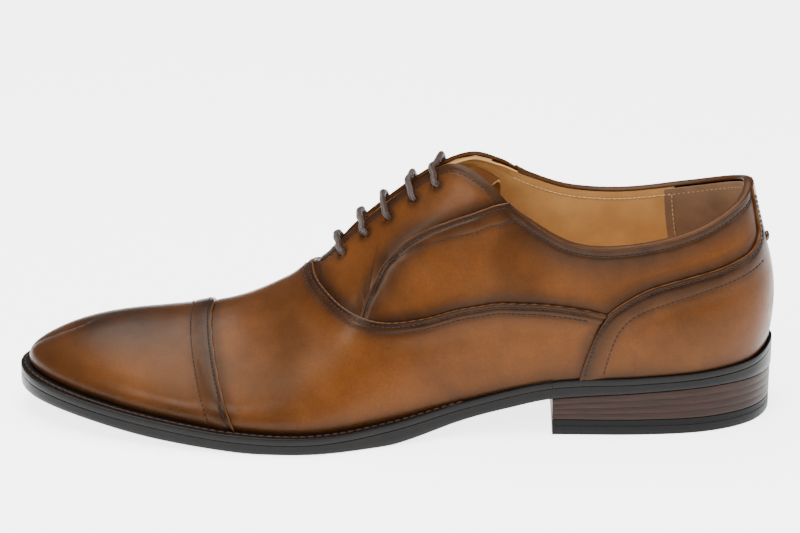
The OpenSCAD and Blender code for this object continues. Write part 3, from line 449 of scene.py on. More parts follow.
def between(low, high, near_low, near_high, middle):
    """Grid from path low to path high: rows at given distances from each, and evenly spaced between."""
    low, high = low[..., None], high[..., None]
    w = np.linspace(0, 1, 25)[None, :]
    line = surf(mix(low[0], high[0], w), mix(low[1], high[1], w), low[2])
    length = np.maximum(np.linalg.norm(np.diff(line, axis=1), axis=-1).sum(-1), 0.5)[:, None]
    near_low, near_high = np.array(near_low, float), np.array(near_high, float)
    squeeze = np.minimum(1, 0.92 * length / (near_low[-1] + near_high[-1] + 1e-6))
    first = near_low[None] * squeeze / length
    last = 1 - near_high[None, ::-1] * squeeze / length
    step = np.linspace(0, 1, middle + 2)[None, 1:-1]
    r = np.hstack([first, first[:, -1:] + (last[:, :1] - first[:, -1:]) * step, last])
    return mix(low[0], high[0], r), mix(low[1], high[1], r), np.broadcast_to(low[2], r.shape)


def leather_looks(points, seams, own=None):
    """Darkening and cut-edge values: dark along seams, welt, topline and toe, light on a lapped edge. The
    darkening is burnish along a piece's own edges and painted shade beside a neighbour's lapped edge.
    """
    burn = np.zeros(points.shape[:-1])
    for line, strength, reach in seams:
        burn = np.maximum(burn, strength * np.exp(-(distance(points, line) / reach) ** 2.4))
    foot = distance(points, FOOT_LINES)
    burn = np.maximum(burn, 0.7 * np.exp(-(foot / 4.5) ** 1.5))
    # darker towards the toe tip and over the top of the toe
    toe = smooth(points[..., 0], 118, 148)
    toe_top = smooth(points[..., 0], 72, 108) * smooth(points[..., 2], 25, 37)
    burn = np.maximum(burn, np.maximum(0.6 * toe, 0.82 * toe_top))
    edge = np.zeros(points.shape[:-1]) if own is None else 1 - smooth(distance(points, own), 0.12, 0.4)
    return np.clip(burn, 0, 1), edge


# ---------- materials ----------
def linear(colour):
    """Shader colour for red, green and blue display values from 0 to 255."""
    shares = [c / 255 for c in colour]
    return tuple(((c + 0.055) / 1.055) ** 2.4 if c > 10 / 255 else c / 12.92 for c in shares) + (1,)


class Shader:
    """A material whose sockets take a number, a colour or the output of another node."""

    def __init__(self, name):
        self.material = bpy.data.materials.new(name)
        self.material.use_nodes = True
        self.tree = self.material.node_tree
        self.body = self.tree.nodes["Principled BSDF"]
        self.place = self.tree.nodes.new("ShaderNodeTexCoord").outputs["Object"]

    def feed(self, node, inputs):
        for key, value in inputs:
            if isinstance(value, bpy.types.NodeSocket):
                self.tree.links.new(value, node.inputs[key])
            else:
                node.inputs[key].default_value = value

    def put(self, **values):
        self.feed(self.body, [(key.replace("_", " "), value) for key, value in values.items()])
        return self

    def node(self, kind, **values):
        made = self.tree.nodes.new(kind)
        self.feed(made, values.items())
        return made

    def stretched(self, x, y, z):
        return self.node("ShaderNodeMapping", Scale=(x, y, z), Vector=self.place).outputs["Vector"]

    def noise(self, scale, detail=3.0, rough=0.55, where=None):
        made = self.node("ShaderNodeTexNoise", Scale=scale, Detail=detail, Roughness=rough,
                         Vector=where or self.place)
        return made.outputs["Fac"]

    def cells(self, scale):
        return self.node("ShaderNodeTexVoronoi", Scale=scale, Vector=self.place).outputs["Distance"]

    def attribute(self, name):
        made = self.node("ShaderNodeAttribute")
        made.attribute_name = name
        return made.outputs["Fac"]

    def ranged(self, value, low, high, new_low=0.0, new_high=1.0):
        made = self.node("ShaderNodeMapRange")
        self.feed(made, enumerate((value, low, high, new_low, new_high)))
        return made.outputs[0]

    def blended(self, share, a, b):
        """Mix of two colours."""
        made = self.node("ShaderNodeMix")
        made.data_type = "RGBA"
        self.feed(made, ((0, share), (6, a), (7, b)))
        return made.outputs[2]

    def maths(self, operation, a, b):
        made = self.node("ShaderNodeMath")
        made.operation = operation
        self.feed(made, ((0, a), (1, b)))
        return made.outputs[0]

    def bump(self, height, distance, strength):
        """Adds a relief on top of the ones already there."""
        made = self.node("ShaderNodeBump", Strength=strength, Distance=distance, Height=height)
        before = self.body.inputs["Normal"]
        if before.links:
            self.feed(made, [("Normal", before.links[0].from_socket)])
        self.put(Normal=made.outputs["Normal"])


def polished_leather(name, light, mid, dark, cut, gloss=0.3):
    light, mid, dark, cut = map(linear, (light, mid, dark, cut))
    s = Shader(name)
    clouds = s.noise(32, 3)
    grain = s.noise(900, 4, 0.7)
    tone = s.blended(s.ranged(clouds, 0.36, 0.64), mid, light)
    tone = s.blended(s.ranged(grain, 0.3, 0.75, 0, 0.3), tone, dark)
    # the darkening value darkens the tone: burnish along a piece's own edges, painted shade beside a
    # neighbour's lapped edge
    patchy = s.maths("MULTIPLY", s.attribute("burn"), s.ranged(s.noise(110, 4), 0.3, 0.7, 0.85, 1.1))
    tone = s.blended(patchy, tone, dark)
    tone = s.blended(s.maths("MULTIPLY", s.attribute("edge"), 0.8), tone, cut)
    s.put(Base_Color=tone)
    s.put(Roughness=s.ranged(s.noise(120, 5), 0.3, 0.7, gloss, gloss + 0.14))
    s.bump(s.noise(1500, 3, 0.6), 0.00009, 0.35)
    s.bump(s.cells(700), 0.00006, 0.25)
    s.bump(s.noise(90, 2), 0.0012, 0.12)
    s.put(Specular_IOR_Level=0.15, Specular_Tint=(1.0, 0.75, 0.52, 1), Coat_Weight=0.03, Coat_Roughness=0.16)
    return s.material


def plain_leather(name, mid, dark, rough=0.6):
    mid, dark = linear(mid), linear(dark)
    s = Shader(name)
    tone = s.blended(s.ranged(s.noise(60, 4), 0.35, 0.65), mid, dark)
    tone = s.blended(s.maths("MULTIPLY", s.attribute("burn"), 0.6), tone, dark)
    s.put(Base_Color=tone)
    s.put(Roughness=s.ranged(s.noise(200, 3), 0.3, 0.7, rough - 0.06, rough + 0.08))
    s.bump(s.noise(1300, 4, 0.65), 0.0001, 0.5)
    return s.material


def two_tone(name, mid, dark, scale, rough, deep=0.0001, metal=0.0, stretch=None, shine=0.22):
    """Fine-textured material of two close colours, its texture stretched where it has a direction."""
    s = Shader(name)
    where = s.stretched(*stretch) if stretch else None
    spots = s.ranged(s.noise(scale, 4, 0.6, where), 0.32, 0.68)
    s.put(Base_Color=s.blended(spots, linear(mid), linear(dark)))
    s.put(Roughness=s.ranged(s.noise(scale * 1.7, 3, 0.6, where), 0.3, 0.7, rough - 0.05, rough + 0.07))
    s.bump(s.noise(scale * 2.3, 4, 0.6, where), deep, 0.5)
    return s.put(Metallic=metal, Specular_IOR_Level=shine).material


TAN = polished_leather("tan_calf", (88, 49, 18), (67, 36, 12), (20, 10, 7),
                       (98, 60, 30), 0.3)
BINDING = polished_leather("binding_calf", (76, 43, 16), (60, 33, 12), (24, 13, 8),
                           (80, 48, 24), 0.36)
TONGUE = polished_leather("tongue_calf", (86, 48, 18), (68, 37, 13), (26, 15, 9),
                          (196, 146, 88), 0.38)
LINING_TAN = plain_leather("lining_calf", (200, 148, 86), (178, 128, 70))
GRIP = plain_leather("grip_suede", (134, 103, 76), (112, 86, 63), 0.85)
CLOTH = two_tone("lining_cloth", (206, 188, 156), (180, 160, 128), 1500, 0.85)
STIFFENER = two_tone("stiffener_sheet", (196, 178, 150), (172, 152, 122), 400, 0.8)
BOARD = two_tone("insole_board", (186, 152, 108), (160, 126, 86), 500, 0.8)
FOAM = two_tone("foam_pad", (222, 208, 150), (200, 184, 124), 1400, 0.9)
STEEL = two_tone("spring_steel", (150, 152, 156), (110, 112, 118), 600, 0.35, 0.00003, 1.0)
CORK = two_tone("cork_fill", (150, 112, 72), (96, 66, 40), 450, 0.9, 0.0003)
SOLE = two_tone("sole_edge_wax", (9, 7, 6), (5, 4, 4), 350, 0.34, 0.00006, shine=0.13)
WELT_BLACK = two_tone("welt_wax", (11, 8, 6), (6, 5, 4), 300, 0.36, 0.00006, shine=0.14)
STACK = two_tone("stacked_leather", (42, 22, 13), (20, 10, 6), 70, 0.42,
                 stretch=(1.0, 1.0, 30.0), shine=0.14)
RUBBER = two_tone("lift_rubber", (6, 6, 6), (3, 3, 3), 900, 0.5, 0.00006, shine=0.12)
THREAD = two_tone("sewing_thread", (34, 18, 12), (20, 11, 8), 2500, 0.55, 0.00005)
WELT_THREAD = two_tone("welt_thread", (64, 36, 20), (40, 22, 13), 2500, 0.6, 0.00005)
PALE_THREAD = two_tone("lining_thread", (200, 172, 128), (172, 142, 100), 2500, 0.7, 0.00005)
PLASTIC = two_tone("aglet_film", (64, 50, 42), (50, 38, 32), 800, 0.22, 0.00002)
STUD = two_tone("stud_bronze", (84, 68, 54), (58, 46, 38), 900, 0.3, 0.00002, 1.0)


def waxed_cord():
    """Round waxed braid: slanting ribs from the along and around values of the mesh, coloured lighter on the
    rib tops and darker in the grooves, a painted highlight and painted shade.
    """
    s = Shader("waxed_cord")
    along = s.maths("MULTIPLY", s.attribute("along"), 5200.0)
    around = s.maths("MULTIPLY", s.attribute("around"), 4.0)
    left, right = (s.maths("SINE", s.maths(kind, along, around), 0.0) for kind in ("ADD", "SUBTRACT"))
    ribs = s.maths("MULTIPLY", left, right)
    # rib tops painted lighter and grooves darker: painted highlight and painted shade on the braid
    s.put(Base_Color=s.blended(s.ranged(ribs, -0.9, 0.9), linear((28, 18, 14)), linear((66, 46, 35))))
    s.put(Roughness=s.ranged(s.noise(900, 3), 0.3, 0.7, 0.42, 0.56))
    s.bump(ribs, 0.00022, 0.8)
    return s.material


LACE_CORD = waxed_cord()

# ---------- upper ----------
# rows close to a lapped edge, dense where its rows of stitches sink in
EDGE_ROWS = [0, 0.15, 0.4, 0.9, 1.3, 1.7, 2.1, 2.6, 3.4, 4.0, 4.4, 4.8, 5.6, 7]
HIDDEN_ROWS = [0, 3.5, 6.6, 7.6, 9, 10.6]


def vamp_grid():
    """Foot and top edge of the vamp, from its inner end over the toes to its outer end."""
    k = np.concatenate([-np.linspace(1.06, 0, 261)[:-1], np.linspace(0, 1.06, 261)])
    a = np.minimum(abs(k), 1)
    side = np.where(k < 0, -1.0, 1.0)
    past = np.maximum(abs(k) - 1, 0) / 0.06 * 0.2
    low = vamp_foot(a)
    top = vamp_top(a)
    below_cap = 1 - smooth(a, 0.42, 0.52)
    foot = smooth(a, 0.42, 0.46)
    low_path = np.array([low[:, 0] + 0.22 * below_cap - past, low[:, 1] - 0.012 * foot, side])
    top_path = np.array([top[:, 0] - past, top[:, 1], side])
    return low_path, top_path, abs(k)


def make_vamp():
    low, top, k = vamp_grid()
    u, t, side = between(low, top, HIDDEN_ROWS, EDGE_ROWS, 34)
    t = np.minimum(t, 1)
    p = surf(u, t, side)
    seam = distance(p, VAMP_LINE)
    cap = distance(p, CAP_LINE)
    forward = (u > cap_edge(t)[..., 0]) & (k[:, None] < 0.55)
    fox = distance(p, FOXING_LINES)
    station, share = np.array(FOXING_TOP[:5])[:, 1:].T
    behind = (k[:, None] > 0.9) & (u < np.interp(t, share, station))
    lift = lap_lift(seam) + groove(seam, VAMP_ROWS[0]) + groove(seam, VAMP_ROWS[1])
    lift = np.where(forward, -0.22 - 0.11 * cap, lift - 0.22 * (1 - smooth(cap, 0, 3.5)))
    lift = np.where(behind, -0.22 - 0.11 * fox, lift - 0.22 * (1 - smooth(fox, 0, 3.5)))
    # its own seam darkens as burnish; beside the cap's and the foxing's lapped edges the darkening is painted
    # shade under those edges
    seams = [(VAMP_LINE, 0.88, 6.5), (CAP_LINE, 0.55, 3.5), (FOXING_LINES, 0.6, 4)]
    burn, edge = leather_looks(p, seams, VAMP_LINE)
    return piece("vamp_leather", TAN, "upper_leather", u, t, side, lift, LEATHER, burn, edge)


# where the ridge over the toes ends
TOE_PINCH = np.array([124.0, -5, 35])


def make_cap():
    v = np.linspace(-1.012, 1.012, 141)
    t = 1 - abs(v)
    side = np.where(v < 0, -1.0, 1.0)
    low = np.array([cap_edge(np.clip(t, 0, 1))[:, 0], t, side])
    top = np.array([0 * v + 12, t, side])
    rows = [0, 0.15, 0.4, 0.9, 1.3, 1.7, 2.1, 2.6, 3.6, 5, 6.4, 7.6, 8.3, 8.7, 9.1, 9.5, 10.2, 11.5]
    u, t, side = between(low, top, rows, [0, 1.2, 2.4], 34)
    p = surf(u, t, side)
    seam = distance(p, CAP_LINE)
    lift = lap_lift(seam) + groove(seam, CAP_ROWS[0]) + groove(seam, CAP_ROWS[1])
    burn, edge = leather_looks(p, [(CAP_LINE, 0.85, 9.5)], CAP_LINE)
    cap = piece("cap_leather", TAN, "upper_leather", u, t, side, lift, LEATHER, burn, edge)
    eased(cap, lambda p: 1 - smooth(np.linalg.norm(p - TOE_PINCH, axis=1), 16, 30), 150)
    return cap


def eased(obj, weight, rounds):
    """Irons out creases where weight(points in millimetres) is above zero, hardly shrinking the shape."""
    mesh = obj.data
    count = len(mesh.vertices)
    points = np.empty(count * 3)
    mesh.vertices.foreach_get("co", points)
    points = points.reshape(-1, 3)
    ends = np.empty(len(mesh.edges) * 2, int)
    mesh.edges.foreach_get("vertices", ends)
    a, b = ends.reshape(-1, 2).T
    links = np.bincount(a, minlength=count) + np.bincount(b, minlength=count)
    strength = weight(points / MM)[:, None]
    for i in range(rounds * 2):
        total = np.zeros_like(points)
        np.add.at(total, a, points[b])
        np.add.at(total, b, points[a])
        mean = total / np.maximum(links, 1)[:, None]
        points = points + (0.6 if i % 2 == 0 else -0.3) * strength * (mean - points)
    mesh.vertices.foreach_set("co", points.ravel())
    mesh.update()


def rolled_edge(build, u, side, burn, inward, wide, lead):
    """Rounded top edge that closes the leather onto its lining; it starts lead degrees before level."""
    p = surf(u, np.ones(len(u)), side)
    n = one_normal(u, np.ones(len(u)), side)
    b = unit(p - surf(u, np.full(len(u), 0.97), side))
    centre = p - inward * n + 0.1 * b
    turn = [-lead, 30 - lead, 0, 25, 50, 75, 90, 105, 130, 155, 180, 150 + lead, 180 + lead]
    angle = np.radians(np.array(turn))[None, :, None]
    ring = centre[:, None] + wide * np.cos(angle) * n[:, None] + 0.85 * np.sin(angle) * b[:, None]
    build.bar(build.add(ring, burn))


SIDES = {1: "outer", -1: "inner"}


def make_facing(s):
    f = np.linspace(0, 1, 181)
    low = np.where((f < 0.45)[:, None], vamp_top(mix(0.04, 0.43, f / 0.45)),
                   quarter_front(mix(-0.04, 0.97, (f - 0.45) / 0.55)))
    low = np.array([low[:, 0], low[:, 1], 0 * f + s])
    hidden = shifted(low, UNDERLAP * s)
    top = np.array([mix(7.15, 4.4, f), 0 * f + 1, 0 * f + s])
    u, t, side = between(hidden, top, HIDDEN_ROWS, [0, 0.6, 1.4, 2.1, 2.6, 3.0, 3.4, 3.9, 4.8], 16)
    t = np.minimum(t, 1)
    p = surf(u, t, side)
    hid = distance(p, polyline(hidden))
    edge_d = distance(p, TOP_LINES)
    lift = under_lift(hid) + groove(edge_d, TOPLINE_ROW)
    lift = np.where(u > 7.0, np.minimum(lift, -0.5), lift)
    # along the top edge the darkening is burnish; beside the lapped edges of the vamp and quarters it is
    # painted shade under those edges
    burn, edge = leather_looks(p, [(TOP_LINES, 0.85, 5), (VAMP_LINE, 0.8, 5), (QUARTER_LINES, 0.8, 5)])
    holes = np.array([surf(a, b, s) for a, b in HOLES])
    rim = ((distance(p, holes) - HOLE_WIDTH / 2) / 1.6).clip(0)
    burn = np.maximum(burn, 0.9 * np.exp(-rim ** 2))
    build = Builder()
    shell(build, u, t, side, lift, LEATHER, burn, edge)
    rolled_edge(build, np.linspace(7.0, COLLAR_FRONT, 70), s, 0.75, 1.55, 1.7, 60)
    return build.make("facing_leather_" + SIDES[s], TAN, "upper_leather")


def make_quarter(s):
    q = np.linspace(0, 1, 301)
    low = np.where((q < 0.5)[:, None], vamp_top(mix(0.41, 0.982, q / 0.5)),
                   foxing_top(mix(0.31, 0.9, (q - 0.5) / 0.5)))
    low = np.array([low[:, 0], low[:, 1], 0 * q + s])
    hidden = shifted(low, UNDERLAP * s)
    top = np.where((q < 0.35)[:, None], quarter_front(mix(-0.03, 1, q / 0.35)),
                   np.stack([mix(COLLAR_FRONT, 0.2, (q - 0.35) / 0.65), 0 * q + 1], -1))
    top = np.array([top[:, 0], np.minimum(top[:, 1], 1), 0 * q + s])
    rows = [0, 0.15, 0.4, 0.9, 1.5, 1.9, 2.3, 2.8, 3.2, 3.7, 4.6, 6, 7.4, 8.4, 9, 9.6, 10.6]
    u, t, side = between(hidden, top, HIDDEN_ROWS, rows, 30)
    t = np.minimum(t, 1)
    p = surf(u, t, side)
    hid = distance(p, polyline(hidden))
    front = distance(p, polyline(quarter_seams[s]))
    second = distance(p, polyline(path_of(quarter_row(half), s)))
    edge_d = distance(p, polyline(collar[s]))
    lift = lap_lift(front) + groove(front, QUARTER_EDGE_ROW) + groove(second, 0, 0.18)
    lift = lift + groove(edge_d, TOPLINE_ROW)
    lift = lift + under_lift(hid)
    # along its own front edge and the topline the darkening is burnish; beside the lapped edges of the vamp
    # and foxing it is painted shade under those edges
    burn, edge = leather_looks(p, [(TOP_LINES, 0.88, 9.5), (VAMP_LINE, 0.75, 4.5), (QUARTER_LINES, 0.85, 8),
                                   (FOXING_LINES, 0.75, 4.5)], polyline(quarter_seams[s]))
    return piece("quarter_leather_" + SIDES[s], TAN, "upper_leather", u, t, side, lift, LEATHER, burn, edge)


def make_foxing():
    near = np.array([0, 0.15, 0.4, 0.9, 1.4, 1.8, 2.2, 2.8, 4, 5.5, 7]) / 105
    g = np.concatenate([near, np.linspace(near[-1], 0.985, 62)[1:], [0.995, 1.0]])
    a = np.stack([foxing_foot(g)[:, 0], 0 * g - 0.012], -1)
    b = foxing_top(0.3 + 0.7 * g)
    k = np.maximum(0, 1 - 3 * g)
    low, high, bulge = [], [], []
    for s in (1, -1):
        order = slice(None) if s == 1 else slice(None, None, -1)
        low.append(np.array([a[order, 0], a[order, 1], 0 * g + s]))
        high.append(np.array([b[order, 0], np.minimum(b[order, 1], 1), 0 * g + s]))
        bulge.append((k * k)[order])
    low = np.hstack([low[0], [[0], [-0.012], [1]], low[1]])
    high = np.hstack([high[0], [[0], [1], [1]], high[1]])
    bulge = np.concatenate([bulge[0], [0], bulge[1]])[:, None]
    u, t, side = between(low, high, [0, 1, 2.2], EDGE_ROWS, 26)
    r = (t - low[1][:, None]) / (high[1] - low[1])[:, None]
    u = u + 0.14 * r * (1 - r) * bulge
    p = surf(u, t, side)
    seam = distance(p, FOXING_LINES)
    second = distance(p, np.vstack([polyline(path_of(foxing_row(half), s)) for s in (1, -1)]))
    lift = lap_lift(seam) + groove(seam, FOXING_EDGE_ROW) + groove(second, 0, 0.18)
    burn, edge = leather_looks(p, [(FOXING_LINES, 0.9, 9), (TOP_LINES, 0.9, 9)], FOXING_LINES)
    return piece("foxing_leather", TAN, "upper_leather", u, t, side, lift, LEATHER, burn, edge)


def make_binding():
    build = Builder()
    rolled_edge(build, np.linspace(COLLAR_FRONT, -COLLAR_FRONT, 190), 1, 0.3, 1.62, 1.78, 55)
    return build.make("topline_roll", BINDING, "binding_leather")


# ---------- linings ----------
def make_quarter_lining(s):
    w = np.linspace(0, 1, 110)[:, None]
    t = np.concatenate([np.linspace(0.03, 0.86, 30), np.linspace(0.875, 0.995, 14)])[None, :]
    u = mix(lining_seam(np.broadcast_to(t, (110, 44)))[..., 0] - 0.014, 2.2, w)
    t = np.broadcast_to(t, u.shape)
    p = surf(u, t, s)
    edge_d = distance(p, TOP_LINES)
    build = Builder()
    burn = 0.5 * np.exp(-(edge_d / 2.2) ** 2)
    base = np.full(u.shape, -LINING_DEPTH) - groove(edge_d, LINING_ROW, 0.12, 0.7)
    shell(build, u, t, np.full(u.shape, float(s)), base, LINING, burn)
    # a lining shows its inner face, so that one is darker near the top edge too
    build.burn[-1] = burn.ravel()
    return build.make("quarter_lining_leather_" + SIDES[s], LINING_TAN, "lining_leather")


def make_grip():
    s = np.linspace(-2.36, 2.36, 121)[:, None]
    t = np.linspace(0.03, 0.985, 60)[None, :]
    s, t = np.broadcast_arrays(s, t)
    lift = np.where(abs(s) > 2.28, 0.6, 0.5) - INNER_DEPTH
    return piece("heel_grip_suede", GRIP, "grip_leather", s, t, np.ones(s.shape), lift, LINING, 0.1)


def make_vamp_lining():
    v = np.linspace(-0.97, 0.97, 81)[:, None]
    w = np.linspace(0, 1, 70)[None, :]
    u = mix(lining_seam(1 - abs(v))[..., 0] + 0.014, 12, w)
    t = np.broadcast_to(1 - abs(v), u.shape)
    side = np.broadcast_to(np.where(v < 0, -1.0, 1.0), u.shape)
    return piece("vamp_lining_cloth", CLOTH, "lining_cloth", u, t, side, -LINING_DEPTH, LINING)


# ---------- tongue ----------
# its front end lies deeper, clear of the lining when the toe bends
TONGUE_DIP = 5.5


def make_tongue():
    u = np.concatenate([np.linspace(7.4, 5.2, 70), np.linspace(5.17, 4.76, 26)])
    curl = np.maximum(0, 5.1 - u) ** 2 * 22
    uu, tt = np.meshgrid(u, [0.7, 0.78, 0.86, 0.93, 0.985], indexing="ij")
    rings = []
    for depth in (TONGUE_DEPTH, TONGUE_DEPTH + 1.3):
        deep = (depth + curl + TONGUE_DIP * smooth(u, 6.5, 7.35))[:, None, None]
        outer = surf(uu, tt, 1) - deep * one_normal(uu, tt, 1)
        inner = surf(uu, tt, -1) - deep * one_normal(uu, tt, -1)
        row = np.concatenate([outer, inner[:, ::-1]], axis=1)
        rings.append(resampled(row, 49))
    build = Builder()
    d = np.minimum(np.arange(49), 48 - np.arange(49))[None, :] * 0.9
    burn = np.maximum(0.3 * np.exp(-(d / 2.5) ** 2), 0.2 * smooth(-u, -5.15, -4.8)[:, None])
    front = build.add(rings[0], burn)
    build.sheet(front, build.add(rings[1], 0.0, 1.0))
    return build.make("tongue_leather", TONGUE, "upper_leather")


def resampled(rows, count):
    """Smooth curve through each row of points, at evenly spaced places."""
    length, across = rows.shape[:2]
    values = rows.transpose(1, 0, 2).reshape(across, -1)
    curve = Curve(np.column_stack([np.linspace(0, 1, across), values]))
    return curve(np.linspace(0, 1, count)).reshape(count, length, 3).transpose(1, 0, 2)


# ---------- stitches ----------
def stitch_row(build, points, normals, size, lift=0.0):
    """One row of separate stitches along a line of points; each arches up and dives in at its ends."""
    pitch, length, radius = size
    step = np.linalg.norm(np.diff(points, axis=0), axis=1)
    along = np.concatenate([[0], np.cumsum(step)])
    count = int(along[-1] / pitch)
    centre = (np.arange(count) + 0.5) * along[-1] / max(count, 1)
    shape = np.array([-1, -0.86, -0.5, 0, 0.5, 0.86, 1])
    girth = np.array([0.3, 0.78, 1, 1.04, 1, 0.78, 0.3]) * radius
    arch = np.array([-0.3, -0.06, 0.1, 0.15, 0.1, -0.06, -0.3]) * radius * 2
    place = np.clip(centre[:, None] + shape[None] * length / 2, 0, along[-1])
    spot = np.stack([np.interp(place, along, points[:, i]) for i in range(3)], -1)
    up = unit(np.stack([np.interp(place, along, normals[:, i]) for i in range(3)], -1))
    forward = unit(spot[:, -1:] - spot[:, :1])
    aside = unit(np.cross(forward, up))
    spot = spot + up * (lift + arch)[None, :, None]
    angle = (np.arange(8) * math.pi / 4)[:, None]
    round_it = np.cos(angle) * aside[:, :, None] + np.sin(angle) * up[:, :, None]
    for one in build.add(spot[:, :, None] + girth[None, :, None, None] * round_it):
        build.bar(one)


def sewn(build, path, lift, inside=False):
    """Row of stitches along a path of stations, shares of the height and sides."""
    n = normal(*path)
    p = polyline(path) + n * np.broadcast_to(lift, path[0].shape)[:, None]
    stitch_row(build, p, -n if inside else n, STITCH)


def part_of(path, start, end):
    return path[:, int(start * path.shape[1]):int(end * path.shape[1])]


def way_of(path, x, y, z):
    """Sign that moves a path towards a point of the piece it edges."""
    here = polyline(path)
    moved = polyline(shifted(path, 2.0))
    middle = len(here) // 2
    return 1 if np.dot(moved[middle] - here[middle], np.array([x, y, z]) - here[middle]) > 0 else -1


# which way along the surface each row lies from its edge
CAP_WAY = way_of(cap_seam, 120, -5, 38)
VAMP_WAY = way_of(vamp_seam, 62, -8, 44)
QUARTER_WAY = way_of(quarter_seams[1], -60, 25, 60)
FOXING_WAY = way_of(foxing_seams[1], -120, 28, 30)
TOP_WAY = way_of(lacing_edge[1], 0, 35, 30)


def make_stitches():
    made = {key: Builder() for key in ("cap", "vamp", "quarter", "foxing", "topline", "lining")}
    for d in CAP_ROWS:
        sewn(made["cap"], shifted(part_of(cap_seam, 0.02, 0.98), d * CAP_WAY), lap_lift(d) + SUNK)
    for d in VAMP_ROWS:
        sewn(made["vamp"], shifted(part_of(vamp_seam, 0.012, 0.988), d * VAMP_WAY), lap_lift(d) + SUNK)
    for s in (1, -1):
        front = shifted(part_of(quarter_seams[s], 0.03, 0.97), QUARTER_EDGE_ROW * QUARTER_WAY * s)
        sewn(made["quarter"], front, lap_lift(QUARTER_EDGE_ROW) + SUNK)
        row = path_of(quarter_row(half), s)
        sewn(made["quarter"], row, lap_lift(distance(polyline(row), polyline(quarter_seams[s]))) + SUNK)
        edge = shifted(part_of(foxing_seams[s], 0.01, 0.985), FOXING_EDGE_ROW * FOXING_WAY * s)
        sewn(made["foxing"], edge, lap_lift(FOXING_EDGE_ROW) + SUNK)
        row = path_of(foxing_row(half), s)
        sewn(made["foxing"], row, lap_lift(distance(polyline(row), FOXING_LINES)) + SUNK)
        edge = np.array([np.linspace(6.85, 0.5, 500), np.full(500, 1.0), np.full(500, float(s))])
        line = shifted(edge, TOPLINE_ROW * TOP_WAY * s)
        lift = lap_lift(distance(polyline(line), polyline(quarter_seams[s])))
        sewn(made["topline"], line, np.where(line[0] < 4.42, lift, 0) + SUNK)
        inner = shifted(edge[:, 190:], LINING_ROW * TOP_WAY * s)
        sewn(made["lining"], inner, -INNER_DEPTH - 0.04, True)
        share = np.linspace(0.12, 0.95, 200)
        sewn(made["lining"], np.array([0 * share + 2.24, share, 0 * share + s]), -INNER_DEPTH - 0.4, True)
    return made


# ---------- sole ----------
def station_body(build, stations, profile, across):
    """Closed body across the shoe; profile(u) gives steps past the feather line and heights, from the top."""
    rows = np.array([profile(u) for u in stations])
    u = np.array(stations, float)[:, None]
    sides = []
    for s in (1, -1):
        f, n = feather(u, s), outward(u, s)
        p = f + rows[..., :1] * n
        p[..., 2] = rows[..., 1]
        sides.append(p)
    w = (np.arange(1, across) / across)[None, :, None]
    bottom = sides[0][:, -1:] + (sides[1][:, -1:] - sides[0][:, -1:]) * w
    top = sides[1][:, :1] + (sides[0][:, :1] - sides[1][:, :1]) * w
    rings = build.add(np.concatenate([sides[0], bottom, sides[1][:, ::-1], top], axis=1))
    build.bar(rings, stations[0] > 0.001, stations[-1] < 11.999)


def swept_edge(build, loop, profile):
    """Strip along the edge; loop runs from 0 at the heel round the toe at 12 and back to the heel at 24."""
    loop = np.array(loop, float)
    rows = np.array([profile(x if x <= 12 else 24 - x) for x in loop])
    u = loop[:, None]
    p = feather(u, 1) + rows[..., :1] * outward(u, 1)
    p[..., 2] = feather(u, 1)[..., 2] + rows[..., 1]
    build.bar(build.add(p))


ALL_STATIONS = [0, 0.01, 0.03, 0.07, 0.15] + [0.25 + 0.1 * i for i in range(116)]
ALL_STATIONS += [11.85, 11.93, 11.97, 11.99, 12]
HEEL_STATIONS = [u for u in ALL_STATIONS if u < HEEL_FRONT - 0.03] + [HEEL_FRONT]


def number(curve, u):
    return float(curve(u)[0])


def outsole_profile(u):
    w, top, low = number(welt_width, u), number(feather_z, u) - WELT - 0.15, max(0, number(underside, u))
    low = min(low, top - 1.2)
    return [(-8, top), (w - 0.9, top), (w - 0.2, top - 0.02), (w - 0.04, top - 0.2), (w, mix(top, low, 0.5)),
            (w - 0.1, low + 0.75), (w - 0.4, low + 0.25), (w - 1.0, low), (w - 3, low), (-8, low)]


def welt_profile(u):
    w = number(welt_width, u)
    groove_at = 0.55 * w
    return [(-5, -0.9), (-0.6, -0.35), (0, -0.12), (max(0.2, groove_at - 0.6), -0.02),
            (groove_at - 0.2, -0.22), (groove_at + 0.2, -0.22), (groove_at + 0.6, -0.02), (w - 0.45, -0.05),
            (w - 0.12, -0.18), (w, -0.5), (w, -WELT + 0.3), (w - 0.06, -WELT + 0.1), (w - 0.2, -WELT),
            (w - 1.2, -WELT - 0.05), (-5, -WELT - 0.05)]


def rand_profile(u):
    w = number(welt_width, u)
    return [(-5, -1.2), (-0.8, -0.4), (0, -0.05), (w - 0.4, -0.12), (w - 0.1, -0.28), (w, -0.6),
            (w, -WELT + 0.3), (w - 0.06, -WELT + 0.1), (w - 0.3, -WELT), (-5, -WELT)]


def stack_profile(u):
    w = number(welt_width, u) - 0.45
    top = max(0, number(underside, u)) - 0.02
    low = TOP_LIFT + 0.1
    rows = [(-8, top)]
    for i in range(STACK_LAYERS):
        for k, dent in ((0.03, -0.07), (0.1, -0.01), (0.5, 0), (0.9, -0.01), (0.97, -0.07)):
            down = (i + k) / STACK_LAYERS
            rows.append((w + dent - 0.25 * down, mix(top, low, down)))
    return rows + [(-8, low)]


def lift_profile(u):
    w = number(welt_width, u) - 0.75
    return [(-8, TOP_LIFT), (w - 0.3, TOP_LIFT), (w, TOP_LIFT - 0.25), (w + 0.05, 4.4), (w - 0.08, 4.25),
            (w - 0.08, 4.1), (w + 0.05, 3.95), (w, 0.7), (w - 0.25, 0.15), (w - 0.8, 0), (-8, 0)]


def insole_profile(u):
    low = number(feather_z, u)
    return [(-4.6, low + 2.2), (-4.0, low + 1.9), (-4.0, low + 0.3), (-4.6, low)]


